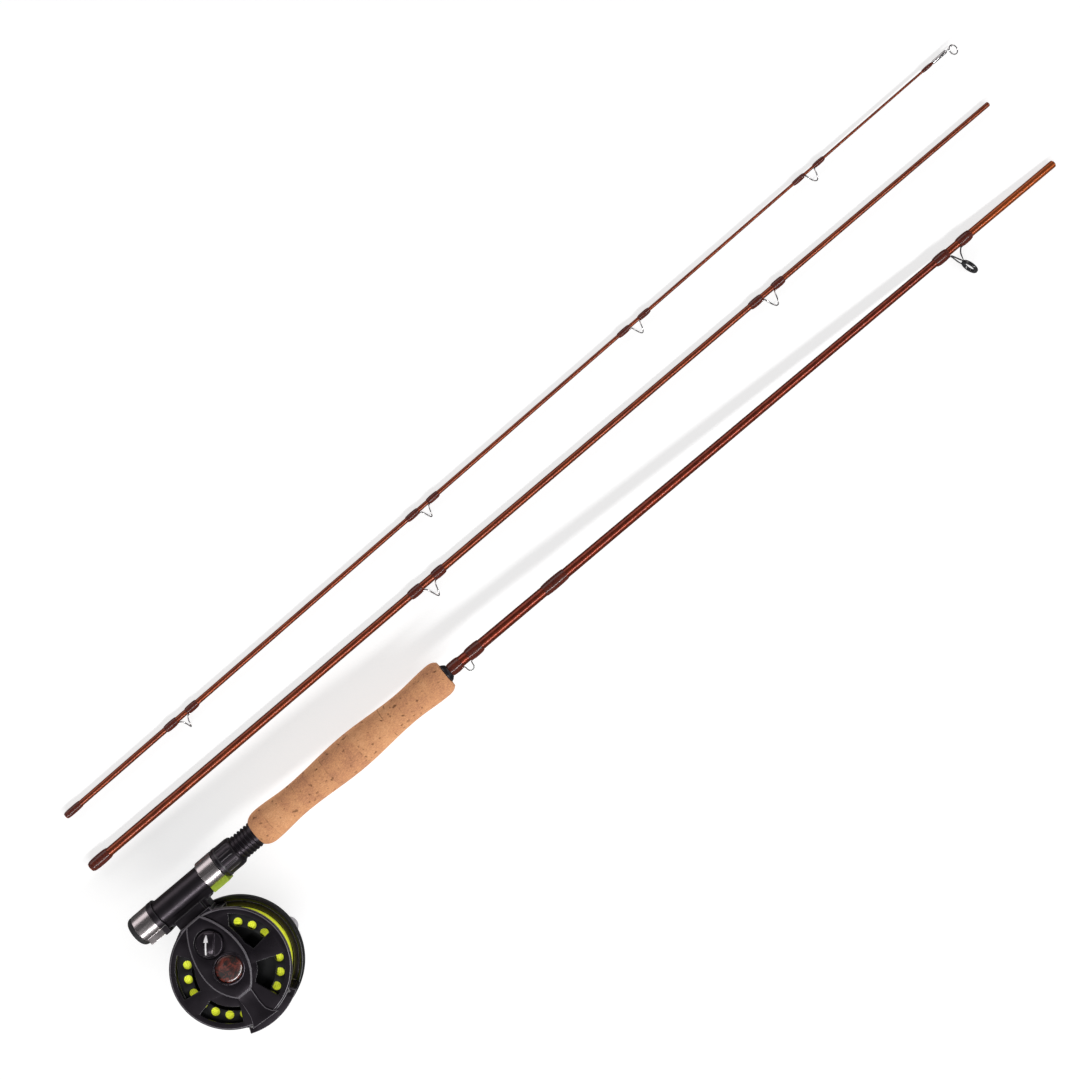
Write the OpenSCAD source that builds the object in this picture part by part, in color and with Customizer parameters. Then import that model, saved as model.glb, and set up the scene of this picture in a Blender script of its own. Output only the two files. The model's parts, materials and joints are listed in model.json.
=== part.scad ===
// Fly fishing rod in three sections with a rim-control fly reel on its seat.
// The sections lie side by side on a flat surface, reel axis upright, handle knob down.
// Units are millimetres. +X runs from the butt to the tip, +Z is up, the reel is on the -Y side.

/* [Rod] */
// Length of each of the three sections
section_len = 850; // [820:1:880]
// Radius of the butt blank where it leaves the grip
butt_blank_r = 4.05; // [3.9:0.05:4.2]
// Radius of the plain male end of the butt section
butt_spigot_r = 2.8; // [2.7:0.05:2.9]
// Radius of the plain male end of the mid section
mid_spigot_r = 1.8; // [1.7:0.05:1.9]
// Radius of the tip blank at its thin end
tip_end_r = 0.85; // [0.75:0.05:0.95]
// Depth of the sockets and length of the male ends
ferrule_len = 60; // [45:1:70]
// Play between a male end and its socket, on the radius
ferrule_play = 0.04; // [0.02:0.01:0.08]

/* [Reel seat] */
// Outer radius of the seat barrel
seat_r = 9.7; // [9.5:0.05:9.8]
// Pitch of the lock nut's thread
thread_pitch = 2.8; // [2.4:0.1:3]
// Outer radius of the two hoods
hood_r = 11.3; // [11.2:0.05:11.5]
// Running play of the hood and the nut on the barrel, on the radius
slide_play = 0.08; // [0.05:0.01:0.1]

/* [Grip] */
// Length of the cork grip
grip_len = 171; // [160:1:180]
// Radius of the grip at its middle swell
grip_swell_r = 13.9; // [13.5:0.1:14.3]
// Number of cork rings glued in a row
cork_count = 13; // [10:1:16]

/* [Guides] */
// Radius of the snake guides' wire on the mid section
mid_wire_r = 0.45; // [0.35:0.05:0.5]
// Radius of the snake guides' wire on the tip section
tip_wire_r = 0.4; // [0.3:0.05:0.45]
// Half height of each snake guide's loop
snake_half = 3.05; // [2.95:0.05:3.1]
// Outer radius of the stripping guide's ring
stripper_r = 6.6; // [6.3:0.1:6.8]

/* [Reel] */
// Radius of the frame's face plate
plate_r = 42; // [41.6:0.1:42.4]
// Radius of the palming rim
rim_r = 46; // [45.8:0.1:46.5]
// Distance of the reel's axis from the rod's axis
reel_offset = 61; // [60.5:0.1:61.5]
// Radius of the wound line
line_r = 37.5; // [35:0.5:38]
// Number of holes in the spool's flange
hole_count = 20; // [16:1:22]
// Number of teeth on the click ratchet
ratchet_teeth = 24; // [20:1:28]

/* [Layout] */
// Sideways distance from the butt section's axis to the mid section's mouth
mid_gap = 56.5; // [50:0.5:60]
// Sideways distance from the butt section's axis to the tip section's mouth
tip_gap = 96.5; // [90:0.5:105]
// Turn of the mid section about the vertical
mid_yaw = 0.45; // [0:0.05:0.6]
// Turn of the tip section about the vertical
tip_yaw = 1.05; // [0.5:0.05:1.2]

/* [Hidden] */
$fn = 64;
GAP = 0.03;                             // glue line between two fixed pieces

// Stations along the butt section, from the end of the rubber cap
cap_len = 4.3;
fixed_hood_x1 = 17.8;
collar_x1 = 22;
hood_x0 = 61.2;
hood_len = 13.4;
hood_x1 = hood_x0 + hood_len;
nut_len = 15.4;
nut_x0 = hood_x1 + 0.1;
nut_x1 = nut_x0 + nut_len;
grip_x0 = 108;
grip_x1 = grip_x0 + grip_len;
thread_x0 = 73;
check_len = 3.5;
blank_x0 = 5;
seat_bore_r = 8;
pocket_half = 6.8;                      // half width of the pockets for the reel foot
insert_half = 7.7;                      // half width of the hood's insert
pocket_y = 11.9;                        // depth of the pockets below the rod's axis
foot_half = 6.5;
foot_x0 = 7;
foot_x1 = 72;
insert_y = 7;                           // height of the hood's flat bed for its insert, below the axis

// Blanks
butt_root_r = 4.4;
mid_mouth_r = 3.4;
tip_mouth_r = 2.25;
wall = 0.75;
mid_socket_r = butt_spigot_r + ferrule_play;
tip_socket_r = mid_spigot_r + ferrule_play;
ferrule_wrap_len = 17;
ferrule_wrap_t = 1.05;
tip_wrap_t = 0.6;
tip_hollow_x1 = 420;

// Guides along each section: [centre, height above the axis, gap between the feet]
MID_SNAKES = [[318, 13.6, 10.6], [640, 12.4, 10]];
TIP_SNAKES = [[110.5, 10.8, 8.6], [341, 10.3, 8.4], [543, 10, 8.2], [710, 9.6, 8]];
snake_foot = 9;
foot_wrap_len = 11;
foot_wrap_t = 1.15;
wrap_base = 0.15;                       // height of every wrap at its two ends
keeper_x = 295.6;
keeper_w = 6;
keeper_h = 10.2;
keeper_wire_r = 0.4;
accent_x0 = 369.3;
accent_x1 = 389.1;
stripper_x = 754;
stripper_y = 18;
stripper_lean = 13;
stripper_wire_r = 0.5;
stripper_foot_b = 757.5;                // start of the single leg's foot
stripper_foot_a = 748.5;                // end of the double leg's foot
tip_top_x = 846;
tip_top_R = 3.6;
tip_top_y = 2.6;
tip_top_lean = 20;
tip_ring_wire_r = 0.4;
tube_x0 = 828;
tube_x1 = 841;

// Reel, from its own centre: +Y towards the rod, Z = 0 level with the rod's axis
reel_x = 39;
plate_z0 = 12;
plate_z1 = 15;
cover_z1 = 17.4;
ring_r0 = 38.9;
ring_r1 = 42.6;
ring_z0 = -11.5;
ring_z1 = -7.5;
rim_z0 = -14;
rim_z1 = -6;
rim_in = 43.2;
flange_z1 = 10.5;
flange_z0 = 9;
flange_r = 38.4;
low_flange_z0 = -13.5;
low_flange_z1 = -12;
dish_r = 28.6;
dish_z = 4;
web_t = 0.9;
hub_r = 22;
hub_boss_r = 11.5;
hub_ribs = 6;
hole_ring_r = 31.8;
hole_r = 3;
hole_phase = -8.6;
bush_r = 5;
spindle_r = 3;
spindle_play = 0.05;
window_r = 37.4;
leaf_top_R = 58;
leaf_low_R = 36.2;
leaf_half = 17.1;
leaf_mid_y = 9;
leaf_y1 = 43.4;
leaf_y0 = -17.4;
leaf_shift = -1.95;                      // sideways place of the leaf at the axis
leaf_lean = 0.068;                       // and how far it leans for each millimetre of height
plate_centre = [-0.5, 1.8];
medal_centre = [-0.6, 2.6];
dial_y = 24;
dial_r = 9.4;
dial_shaft_r = 2.5;
dial_angle = 50;
medal_r = 10.5;
bezel_r = 11.6;
knob_R = 35.2;
knob_angle = -11;
knob_z0 = -40;
knob_z1 = -15.8;
knob_r = 7;
pin_r = 1.9;
gear_z0 = 4.95;
gear_z1 = 7.4;
gear_r = 8.5;
pawl_x = 10;
pawl_y = 12.6;
latch_screw_y = 7.4;
latch_screw_z1 = -9.5;
latch_half = 4.4;
post_r = 1.5;
spring_post = [-8.4, 17.2];
screw_ring_r = 40.8;
stem_x0 = -10.9;                        // sides of the stem between the frame and the foot
stem_x1 = 14.8;
screw_head_r = 1.4;
screw_head_h = 1;
SCREW_ANGLES = [72, 108, 180, 249, 299];

// Pose of the three sections on the surface: the butt section stands on the knob and its male end
knob_far_x = reel_x + knob_R * cos(knob_angle) + knob_r;
pitch = atan((-knob_z0 - butt_spigot_r) / (section_len - knob_far_x));
axis_z = knob_far_x * sin(pitch) - knob_z0 * cos(pitch);
mid_x = -9.5;
// The mid section rests on its mouth's wrap and its second guide
mid_z = mid_mouth_r + ferrule_wrap_t;
mid_pitch = asin((mid_z - snake_half - mid_wire_r) / (MID_SNAKES[1][0] - ferrule_wrap_len / 2));
// The tip section rests on its first guide and the ring of its tip-top
tip_x = 0;
tip_top_low = (tip_top_R * cos(tip_top_lean)) + tip_ring_wire_r;
tip_pitch = -asin((tip_top_low - snake_half - tip_wire_r) / (tip_top_x - TIP_SNAKES[0][0]));
tip_z = snake_half + tip_wire_r + TIP_SNAKES[0][0] * sin(tip_pitch);
stem_y0 = ring_r1 + GAP - reel_offset;
// Centre of the whole object's footprint, from the butt cap's end on the rod's axis
low_x = mid_x;
high_x = section_len * cos(pitch) + butt_spigot_r * sin(pitch);
low_y = -reel_offset - rim_r;
high_y = tip_gap + tube_x1 * sin(tip_yaw) + 1.35 * cos(tip_yaw);
origin_x = (low_x + high_x) / 2;
origin_y = (low_y + high_y) / 2;

BLANK = [0.36, 0.13, 0.07];
THREAD = [0.24, 0.07, 0.04];
BLACK = [0.08, 0.08, 0.09];
CORK = [0.80, 0.56, 0.38];
STEEL = [0.62, 0.60, 0.60];
LIME = [0.70, 0.86, 0.10];

// ---------- Helpers ----------

function unit(v) = v / norm(v);
function lerp(a, b, u) = a + (b - a) * u;
// Smooth step from a to b, level at both ends
function ease(a, b, u) = lerp(a, b, (1 - cos(180 * u)) / 2);
function polar(r, a) = [r * cos(a), r * sin(a)];

function path_dirs(p) =
    [for (i = [0:len(p) - 1]) unit(p[min(i + 1, len(p) - 1)] - p[max(i - 1, 0)])];
function square_to(v, t) = unit(v - (v * t) * t);
function any_normal(t) = square_to(abs(t[2]) < 0.9 ? [0, 0, 1] : [0, 1, 0], t);

// Round wire of radius r along the points p
module wire(p, r, sides = 8) {
    t = path_dirs(p);
    n = [for (i = 0, v = any_normal(t[0]); i < len(p);
              i = i + 1, v = i < len(p) ? square_to(v, t[i]) : v) v];
    points = [for (i = [0:len(p) - 1], k = [0:sides - 1])
        p[i] + r * (cos(360 * k / sides) * n[i] + sin(360 * k / sides) * cross(t[i], n[i]))];
    skin = [for (i = [0:len(p) - 2], k = [0:sides - 1])
        [i * sides + k, (i + 1) * sides + k, (i + 1) * sides + (k + 1) % sides,
         i * sides + (k + 1) % sides]];
    last = (len(p) - 1) * sides;
    ends = [[for (k = [0:sides - 1]) k], [for (k = [sides - 1:-1:0]) last + k]];
    polyhedron(points, concat(skin, ends));
}

// Straight round bar from p to q
module bar(p, q, r) {
    v = q - p;
    translate(p)
        rotate([0, acos(v[2] / norm(v)), atan2(v[1], v[0])])
            cylinder(h = norm(v), r = r);
}

// Solid of revolution about the rod's axis, from [radius, x] points
module turned(points) {
    rotate([0, 90, 0]) rotate_extrude() polygon(points);
}

module tube_x(x0, x1, r_out, r_in) {
    turned([[r_in, x0], [r_out, x0], [r_out, x1], [r_in, x1]]);
}

module disc(z0, z1, r_out, r_in = 0) {
    translate([0, 0, z0])
        difference() {
            cylinder(h = z1 - z0, r = r_out);
            if (r_in > 0) translate([0, 0, -1]) cylinder(h = z1 - z0 + 2, r = r_in);
        }
}

module hole(x, y, z0, z1, r) {
    translate([x, y, z0]) cylinder(h = z1 - z0, r = r);
}

module slab(x0, x1, y0, y1, z0, z1) {
    translate([x0, y0, z0]) cube([x1 - x0, y1 - y0, z1 - z0]);
}

// Thread wrap with a bulged coat of varnish, over a blank of radius ra to rb
module wrap(x0, x1, ra, rb, t) {
    steps = 10;
    turned(concat(
        [[ra + GAP, x0], [rb + GAP, x1]],
        [for (i = [steps:-1:0])
            let (u = i / steps)
            [lerp(ra, rb, u) + wrap_base + t * sqrt(max(0, 1 - pow(abs(2 * u - 1), 3))),
             lerp(x0, x1, u)]]));
}

// ---------- Placing ----------

module on_butt() {
    translate([-origin_x, -origin_y, axis_z]) rotate([0, pitch, 0]) children();
}
module on_reel() {
    on_butt() translate([reel_x, -reel_offset, 0]) children();
}
module on_mid() {
    translate([mid_x - origin_x, mid_gap - origin_y, mid_z])
        rotate([0, mid_pitch, mid_yaw]) children();
}
module on_tip() {
    translate([tip_x - origin_x, tip_gap - origin_y, tip_z])
        rotate([0, tip_pitch, tip_yaw]) children();
}

// ---------- Blanks ----------

taper_x1 = section_len - ferrule_len - 20;
function butt_r(x) = x < grip_x1
    ? lerp(butt_root_r, butt_blank_r, (x - blank_x0) / (grip_x1 - blank_x0))
    : lerp(butt_blank_r, butt_spigot_r, min(1, (x - grip_x1) / (taper_x1 - grip_x1)));
function mid_r(x) = x < ferrule_len
    ? mid_mouth_r
    : lerp(mid_mouth_r, mid_spigot_r,
           min(1, (x - ferrule_len) / (section_len - 2 * ferrule_len)));
function tip_r(x) = x < ferrule_len
    ? tip_mouth_r
    : lerp(tip_mouth_r, tip_end_r, min(1, (x - ferrule_len) / (tube_x0 - ferrule_len)));

module butt_blank() {
    color(BLANK) on_butt() turned([
        [butt_root_r - 1, blank_x0], [butt_root_r, blank_x0], [butt_blank_r, grip_x1],
        [butt_spigot_r, taper_x1], [butt_spigot_r, section_len - 0.6],
        [butt_spigot_r - 0.6, section_len], [butt_spigot_r - 1.3, section_len]]);
}

module mid_blank() {
    color(BLANK) on_mid() turned([
        [mid_socket_r, 0], [mid_mouth_r, 0], [mid_mouth_r, ferrule_len],
        [mid_spigot_r, section_len - ferrule_len], [mid_spigot_r, section_len - 0.4],
        [mid_spigot_r - 0.4, section_len], [mid_spigot_r - wall, section_len],
        [mid_mouth_r - wall - 0.2, ferrule_len], [mid_socket_r, ferrule_len]]);
}

module tip_blank() {
    color(BLANK) on_tip() turned([
        [tip_socket_r, 0], [tip_mouth_r, 0], [tip_mouth_r, ferrule_len],
        [tip_end_r, tube_x0], [tip_end_r, tube_x1 - 1], [0, tube_x1 - 1],
        [0, tip_hollow_x1], [tip_mouth_r - wall, ferrule_len], [tip_socket_r, ferrule_len]]);
}

// ---------- Butt end and reel seat ----------

module butt_cap() {
    color(BLACK) on_butt() turned([
        [0, 0], [7.5, 0], [9.4, 0.5], [10.5, 1.6], [10.9, 3], [10.9, cap_len],
        [7.9, cap_len], [7.9, cap_len + 5], [butt_root_r + 0.1, cap_len + 5],
        [butt_root_r + 0.1, 4.6], [0, 4.6]]);
}

// Pocket for the end of the reel foot, open towards +X or -X
module foot_pocket(x0, x1, depth) {
    slab(x0, x1, -depth, 0, -pocket_half, pocket_half);
}

module fixed_hood() {
    x0 = cap_len + GAP;
    color(STEEL) on_butt() difference() {
        union() {
            turned([[seat_r + GAP, x0], [hood_r - 0.5, x0], [hood_r - 0.2, x0 + 0.4],
                    [hood_r - 0.1, fixed_hood_x1], [seat_r + GAP, fixed_hood_x1]]);
            slab(x0 + 1.5, fixed_hood_x1, -pocket_y - 0.8, -4, -pocket_half - 1, pocket_half + 1);
        }
        rotate([0, 90, 0]) cylinder(h = 40, r = seat_r + GAP);
        foot_pocket(foot_x0 - 1, fixed_hood_x1 + 1, pocket_y);
    }
}

module hood_collar() {
    x0 = fixed_hood_x1 + GAP;
    color(BLACK) on_butt() difference() {
        union() {
            tube_x(x0, collar_x1, hood_r + 0.1, seat_r + GAP);
            slab(x0, collar_x1, -pocket_y - 2, -4, -pocket_half - 1.4, pocket_half + 1.4);
        }
        rotate([0, 90, 0]) cylinder(h = 40, r = seat_r + GAP);
        foot_pocket(x0 - 1, collar_x1 + 1, pocket_y + 0.5);
    }
}

module seat_barrel() {
    groove = 0.75;
    ribs = floor((grip_x0 - thread_x0) / thread_pitch);
    crest = seat_r - 0.15;
    color(BLACK) on_butt() turned(concat(
        [[seat_bore_r, cap_len + GAP], [seat_r, cap_len + GAP], [seat_r, thread_x0 - 1],
         [crest, thread_x0 - 0.5]],
        [for (i = [0:ribs - 1], k = [0:3])
            [crest - (k == 1 || k == 2 ? groove : 0),
             thread_x0 + thread_pitch * (i + [0, 0.2, 0.45, 0.65][k])]],
        [[crest, grip_x0 - GAP], [seat_bore_r, grip_x0 - GAP]]));
}

module seat_arbors() {
    color("tan") on_butt()
        for (x = [16, 46, 76]) tube_x(x, x + 18, seat_bore_r - 0.05, butt_root_r + GAP);
}

module sliding_hood() {
    color(STEEL) on_butt() difference() {
        turned([[seat_r + slide_play, hood_x0], [hood_r - 0.4, hood_x0],
                [hood_r, hood_x0 + 0.5], [hood_r + 0.1, hood_x1 - 0.5],
                [hood_r - 0.3, hood_x1], [seat_r + slide_play, hood_x1]]);
        slab(hood_x0 - 1, hood_x1 + 1, -20, -insert_y, -insert_half, insert_half);
    }
}

module hood_insert() {
    half = insert_half - GAP;
    color(LIME) on_butt() difference() {
        slab(hood_x0 + 0.1, hood_x1 - 0.1, -pocket_y - 1, -insert_y - GAP, -half, half);
        rotate([0, 90, 0]) cylinder(h = 100, r = seat_r + slide_play);
        foot_pocket(hood_x0 - 1, foot_x1 + 0.5, pocket_y);
    }
}

module lock_nut() {
    flutes = 16;
    color(BLACK) on_butt() difference() {
        turned([[seat_r + slide_play, nut_x0], [11, nut_x0], [11.5, nut_x0 + 0.6],
                [11.5, nut_x0 + 3], [11.2, nut_x0 + 3.4], [11.2, nut_x1 - 3],
                [10.9, nut_x1 - 0.8], [10.4, nut_x1], [seat_r + slide_play, nut_x1]]);
        for (a = [0:flutes - 1])
            rotate([a * 360 / flutes, 0, 0])
                translate([nut_x0 + 4, 0, 12.1]) rotate([0, 90, 0]) cylinder(h = nut_len, r = 1.2);
    }
}

// ---------- Grip ----------

// Level points of the grip's outline, as [x, radius]
GRIP = [[grip_x0 + 9, 13.05], [grip_x0 + 36, 11.5], [grip_x0 + 86, grip_swell_r],
        [grip_x0 + 134, 11.6], [grip_x1 - 7.5, 13.15]];
function grip_span(x, i = 0) = i >= len(GRIP) - 2 || x < GRIP[i + 1][0] ? i : grip_span(x, i + 1);
function grip_body(x) =
    let (i = grip_span(x), a = GRIP[i], b = GRIP[i + 1])
    ease(a[1], b[1], max(0, min(1, (x - a[0]) / (b[0] - a[0]))));
// Rounded lower end and a cut corner at the upper end
function grip_r(x) = grip_body(x)
    - 2.9 * pow(max(0, 1 - (x - grip_x0) / 8), 2.6)
    - 2.6 * pow(max(0, 1 - (grip_x1 - x) / 5), 1.8);

module cork_rings() {
    pitch_x = grip_len / cork_count;
    steps = 7;
    color(CORK) on_butt()
        for (i = [0:cork_count - 1]) {
            x0 = grip_x0 + i * pitch_x;
            x1 = x0 + pitch_x - GAP;
            turned(concat(
                [[butt_root_r + GAP, x0]],
                [for (k = [0:steps]) let (x = lerp(x0, x1, k / steps)) [grip_r(x), x]],
                [[butt_root_r + GAP, x1]]));
        }
}

module winding_check() {
    x0 = grip_x1 + GAP;
    color(BLACK) on_butt() turned([
        [butt_blank_r + GAP, x0], [7, x0], [7, x0 + 0.8], [6.4, x0 + 1.9],
        [5.1, x0 + check_len], [butt_blank_r + GAP, x0 + check_len]]);
}

// ---------- Guides ----------

module hook_keeper() {
    r = keeper_wire_r;
    y0 = butt_blank_r + r + GAP;
    half = keeper_w / 2 - r;
    bend = [for (a = [-90:15:90]) [keeper_x + half * sin(a), -(keeper_h - r - half) - half * cos(a), 0]];
    color(STEEL) on_butt() wire(concat(
        [[keeper_x - 12, -y0, 0], [keeper_x - half - 2, -y0, 0], [keeper_x - half - 0.5, -y0 - 0.4, 0]],
        bend,
        [[keeper_x + half + 0.5, -y0 - 0.4, 0], [keeper_x + half + 2, -y0, 0],
         [keeper_x + 13, -y0, 0]]), r);
}

module keeper_wraps() {
    x0 = grip_x1 + check_len + 2 * GAP;
    xa = keeper_x - keeper_w / 2;
    xb = keeper_x + keeper_w / 2 + 0.3;
    color(THREAD) on_butt() {
        wrap(x0, xa, butt_r(x0), butt_r(xa), 0.95);
        wrap(xb, xb + 12.3, butt_r(xb), butt_r(xb + 12.3), 1);
    }
}

module accent_wrap() {
    color(THREAD) on_butt()
        wrap(accent_x0, accent_x1, butt_r(accent_x0), butt_r(accent_x1), 0.6);
}

// Places its children at the stripping guide's ring, with the ring's axis along Z
module at_stripper() {
    translate([stripper_x, -stripper_y, 0]) rotate([0, 0, stripper_lean])
        rotate([0, 90, 0]) children();
}

module stripping_guide_frame() {
    r = stripper_wire_r;
    y0 = butt_r(stripper_foot_a - 12) + r + GAP;
    near = stripper_y - stripper_r + 0.6;
    ring_in = stripper_r - 1.15;
    color(BLACK) on_butt() {
        at_stripper() rotate_extrude() polygon([
            [ring_in, -1.1], [stripper_r - 0.4, -1.1], [stripper_r, -0.6],
            [stripper_r, 0.6], [stripper_r - 0.4, 1.1], [ring_in, 1.1]]);
        wire([[stripper_foot_b + 11, -y0, 0], [stripper_foot_b + 1.5, -y0, 0],
              [stripper_foot_b, -y0 - 0.5, 0], [stripper_x - 0.6, -near, 0]], r);
        for (s = [-1, 1])
            wire([[stripper_foot_a - 11, -y0, 0.55 * s], [stripper_foot_a - 1.5, -y0, 0.55 * s],
                  [stripper_foot_a, -y0 - 0.6, 0.8 * s],
                  [stripper_x - 1.2, -stripper_y + 4.4, 4.4 * s]], r);
    }
}

module stripping_guide_ring() {
    color([0.15, 0.15, 0.16]) on_butt() at_stripper() rotate_extrude() polygon([
        [4.35, -0.4], [4.7, -1.1], [5.1, -1.3], [stripper_r - 1.18, -1.1],
        [stripper_r - 1.18, 1.1], [5.1, 1.3], [4.7, 1.1], [4.35, 0.4]]);
}

module stripping_guide_wraps() {
    xa = stripper_foot_a - 0.5;
    xb = stripper_foot_b + 0.5;
    color(THREAD) on_butt() {
        wrap(xa - 12, xa, butt_r(xa - 12), butt_r(xa), foot_wrap_t);
        wrap(xb, xb + 11.7, butt_r(xb), butt_r(xb + 11.7), foot_wrap_t);
    }
}

// Wire guide: one open turn of wire between two feet. g = [centre, height, gap]
module snake(g, blank_r, wire_r) {
    steps = 24;
    base = blank_r + wire_r + GAP;
    mid = (g[1] - wire_r + base) / 2;
    amp = (g[1] - wire_r - base) / 2;
    wire(concat(
        [[g[0] - g[2] / 2 - snake_foot, -base, 0]],
        [for (i = [0:steps])
            let (a = -180 + 360 * i / steps, u = i / steps)
            [g[0] + g[2] * (u - 0.5), -mid - amp * cos(a), snake_half * sin(a)]],
        [[g[0] + g[2] / 2 + snake_foot, -base, 0]]), wire_r);
}

module foot_wraps(g, ra, rb, t) {
    xa = g[0] - g[2] / 2 - 0.2;
    xb = g[0] + g[2] / 2 + 0.2;
    wrap(xa - foot_wrap_len, xa, ra, rb, t);
    wrap(xb, xb + foot_wrap_len - 0.8, rb, rb, t);
}

module mid_snake(i) {
    g = MID_SNAKES[i];
    color(STEEL) on_mid() snake(g, mid_r(g[0] - 16), mid_wire_r);
}
module mid_snake_guide_1() { mid_snake(0); }
module mid_snake_guide_2() { mid_snake(1); }

module mid_guide_wraps() {
    color(THREAD) on_mid()
        for (g = MID_SNAKES) foot_wraps(g, mid_r(g[0] - 16), mid_r(g[0] - 5), 1);
}

module tip_snake(i) {
    g = TIP_SNAKES[i];
    color(STEEL) on_tip() snake(g, tip_r(g[0] - 14), tip_wire_r);
}
module tip_snake_guide_1() { tip_snake(0); }
module tip_snake_guide_2() { tip_snake(1); }
module tip_snake_guide_3() { tip_snake(2); }
module tip_snake_guide_4() { tip_snake(3); }

module tip_guide_wraps() {
    color(THREAD) on_tip()
        for (g = TIP_SNAKES) foot_wraps(g, tip_r(g[0] - 15), tip_r(g[0] - 4), 0.85);
}

module mid_ferrule_wrap() {
    color(THREAD) on_mid() wrap(0.5, ferrule_wrap_len, mid_mouth_r, mid_mouth_r, ferrule_wrap_t - wrap_base);
}

module tip_ferrule_wrap() {
    color(THREAD) on_tip() wrap(0.4, ferrule_wrap_len - 3, tip_mouth_r, tip_mouth_r, tip_wrap_t - wrap_base);
}

module tip_top() {
    brace = tip_top_R - 0.2;
    color(STEEL) on_tip() {
        tube_x(tube_x0 + GAP, tube_x1, 1.35, tip_end_r + GAP);
        translate([tip_top_x, -tip_top_y, 0]) rotate([0, 90 - tip_top_lean, 0])
            rotate_extrude() translate([tip_top_R, 0]) circle(r = tip_ring_wire_r, $fn = 24);
        for (s = [-1, 1])
            bar([tube_x1 - 3, -0.65, 1.15 * s],
                [tip_top_x + brace * 0.5 * s * sin(tip_top_lean), -tip_top_y + brace * 0.86,
                 brace * 0.5 * s * cos(tip_top_lean)], tip_ring_wire_r);
    }
}

module tip_top_wrap() {
    x1 = tube_x0 - 0.4;
    color(THREAD) on_tip() wrap(x1 - 9, x1, tip_r(x1 - 9), tip_r(x1), 0.45);
}

// ---------- Reel frame ----------

module reel_foot() {
    color(BLACK) on_butt() difference() {
        union() {
            translate([0, 0, -foot_half]) linear_extrude(2 * foot_half) polygon([
                [foot_x0, -seat_r + 3], [foot_x0, -seat_r - 1.2], [foot_x0 + 17, -seat_r - 2.1],
                [reel_x - 13, -13.4], [reel_x + 17, -13.4], [hood_x0 - 3, -seat_r - 2.1],
                [foot_x1, -seat_r - 1.2], [foot_x1, -seat_r + 3]]);
            // Stem down to the reel's frame, with a low gusset on the tip side
            slab(reel_x + stem_x0, reel_x + 11.6, stem_y0, -seat_r - 1, -5, 11.5);
            slab(reel_x + 11, reel_x + stem_x1, stem_y0, -seat_r - 1, -5, 7.5);
        }
        rotate([0, 90, 0]) cylinder(h = 100, r = seat_r + GAP);
        for (s = [-1, 1])
            translate([reel_x + 2 + 8 * s, stem_y0 - 0.1, 2]) rotate([-90, 0, 0]) cylinder(h = 4.7, r = 1.02);
    }
}

// Two screws from inside the cage up into the stem
module foot_screws() {
    color(STEEL) on_reel()
        for (s = [-1, 1])
            translate([2 + 8 * s, 0, 2]) {
                translate([0, 39.35, 0]) rotate([-90, 0, 0]) cylinder(h = 1, r = 1.9);
                translate([0, 40.3, 0]) rotate([-90, 0, 0]) cylinder(h = 6, r = 1);
            }
}

// Half width of the leaf-shaped cover at height y, grown by g
function leaf_w(y, g) =
    let (R = (y > leaf_mid_y ? leaf_top_R : leaf_low_R) + g, dy = y - leaf_mid_y)
    leaf_half + g - R + sqrt(max(0, R * R - dy * dy));

// Middle of the leaf at height y
function leaf_x(y) = leaf_shift + leaf_lean * y;

module leaf_outline(g = 0, y0 = leaf_y0, y1 = leaf_y1) {
    steps = 28;
    polygon(concat(
        [for (i = [0:steps]) let (y = lerp(y0, y1, i / steps)) [leaf_x(y) + leaf_w(y, g), y]],
        [for (i = [steps:-1:0]) let (y = lerp(y0, y1, i / steps)) [leaf_x(y) - leaf_w(y, g), y]]));
}

module wedge(a0, a1, r) {
    polygon(concat([[0, 0]], [for (i = [0:8]) polar(r, lerp(a0, a1, i / 8))]));
}

// Four windows between the leaf and the rim: [start angle, end angle, inner radius]
WINDOWS = [[6, 55, 20], [125, 172, 25.5], [194, 242, 25], [291, 338.5, 17]];

module windows() {
    difference() {
        intersection() {
            translate(plate_centre) circle(r = window_r);
            for (w = WINDOWS)
                difference() {
                    wedge(w[0], w[1], 60);
                    circle(r = w[2]);
                }
        }
        leaf_outline(2.4, -40, 50);
    }
}

// Lip of the plate over the brace opposite the foot
module brace_outline(r0, r1) {
    difference() {
        intersection() {
            circle(r = r1);
            wedge(246, 302, 60);
        }
        circle(r = r0);
    }
}

module frame_plate() {
    depth = plate_z1 - plate_z0;
    color(BLACK) on_reel() difference() {
        union() {
            translate(plate_centre) rotate_extrude() polygon([
                [0, plate_z0], [plate_r - 0.4, plate_z0], [plate_r, plate_z0 + 0.6],
                [plate_r, plate_z1 - 1.1], [plate_r - 1.1, plate_z1], [0, plate_z1]]);
            translate([0, 0, plate_z0]) linear_extrude(depth - 1) brace_outline(plate_r - 4, 45.4);
            slab(stem_x0, stem_x1, 38, 43.6, plate_z0, plate_z1 - 0.5);
        }
        translate([0, 0, plate_z0 - 1]) linear_extrude(depth + 2) windows();
        hole(0, 0, plate_z0 - 1, plate_z1 + 1, spindle_r + GAP);
        hole(0, dial_y, plate_z0 - 1, plate_z1 + 1, dial_shaft_r + spindle_play);
        hole(pawl_x, pawl_y, plate_z0 - 1, plate_z0 + 1.5, post_r + GAP);
        hole(spring_post[0], spring_post[1], plate_z0 - 1, plate_z0 + 1.5, 1.2 + GAP);
        for (a = SCREW_ANGLES)
            hole(polar(screw_ring_r, a)[0], polar(screw_ring_r, a)[1], plate_z0 - 1, plate_z0 + 2, 0.92);
        for (p = COVER_SCREWS) hole(p[0], p[1], plate_z0 - 1, plate_z1 + 1, 1.05);
    }
}

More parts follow.
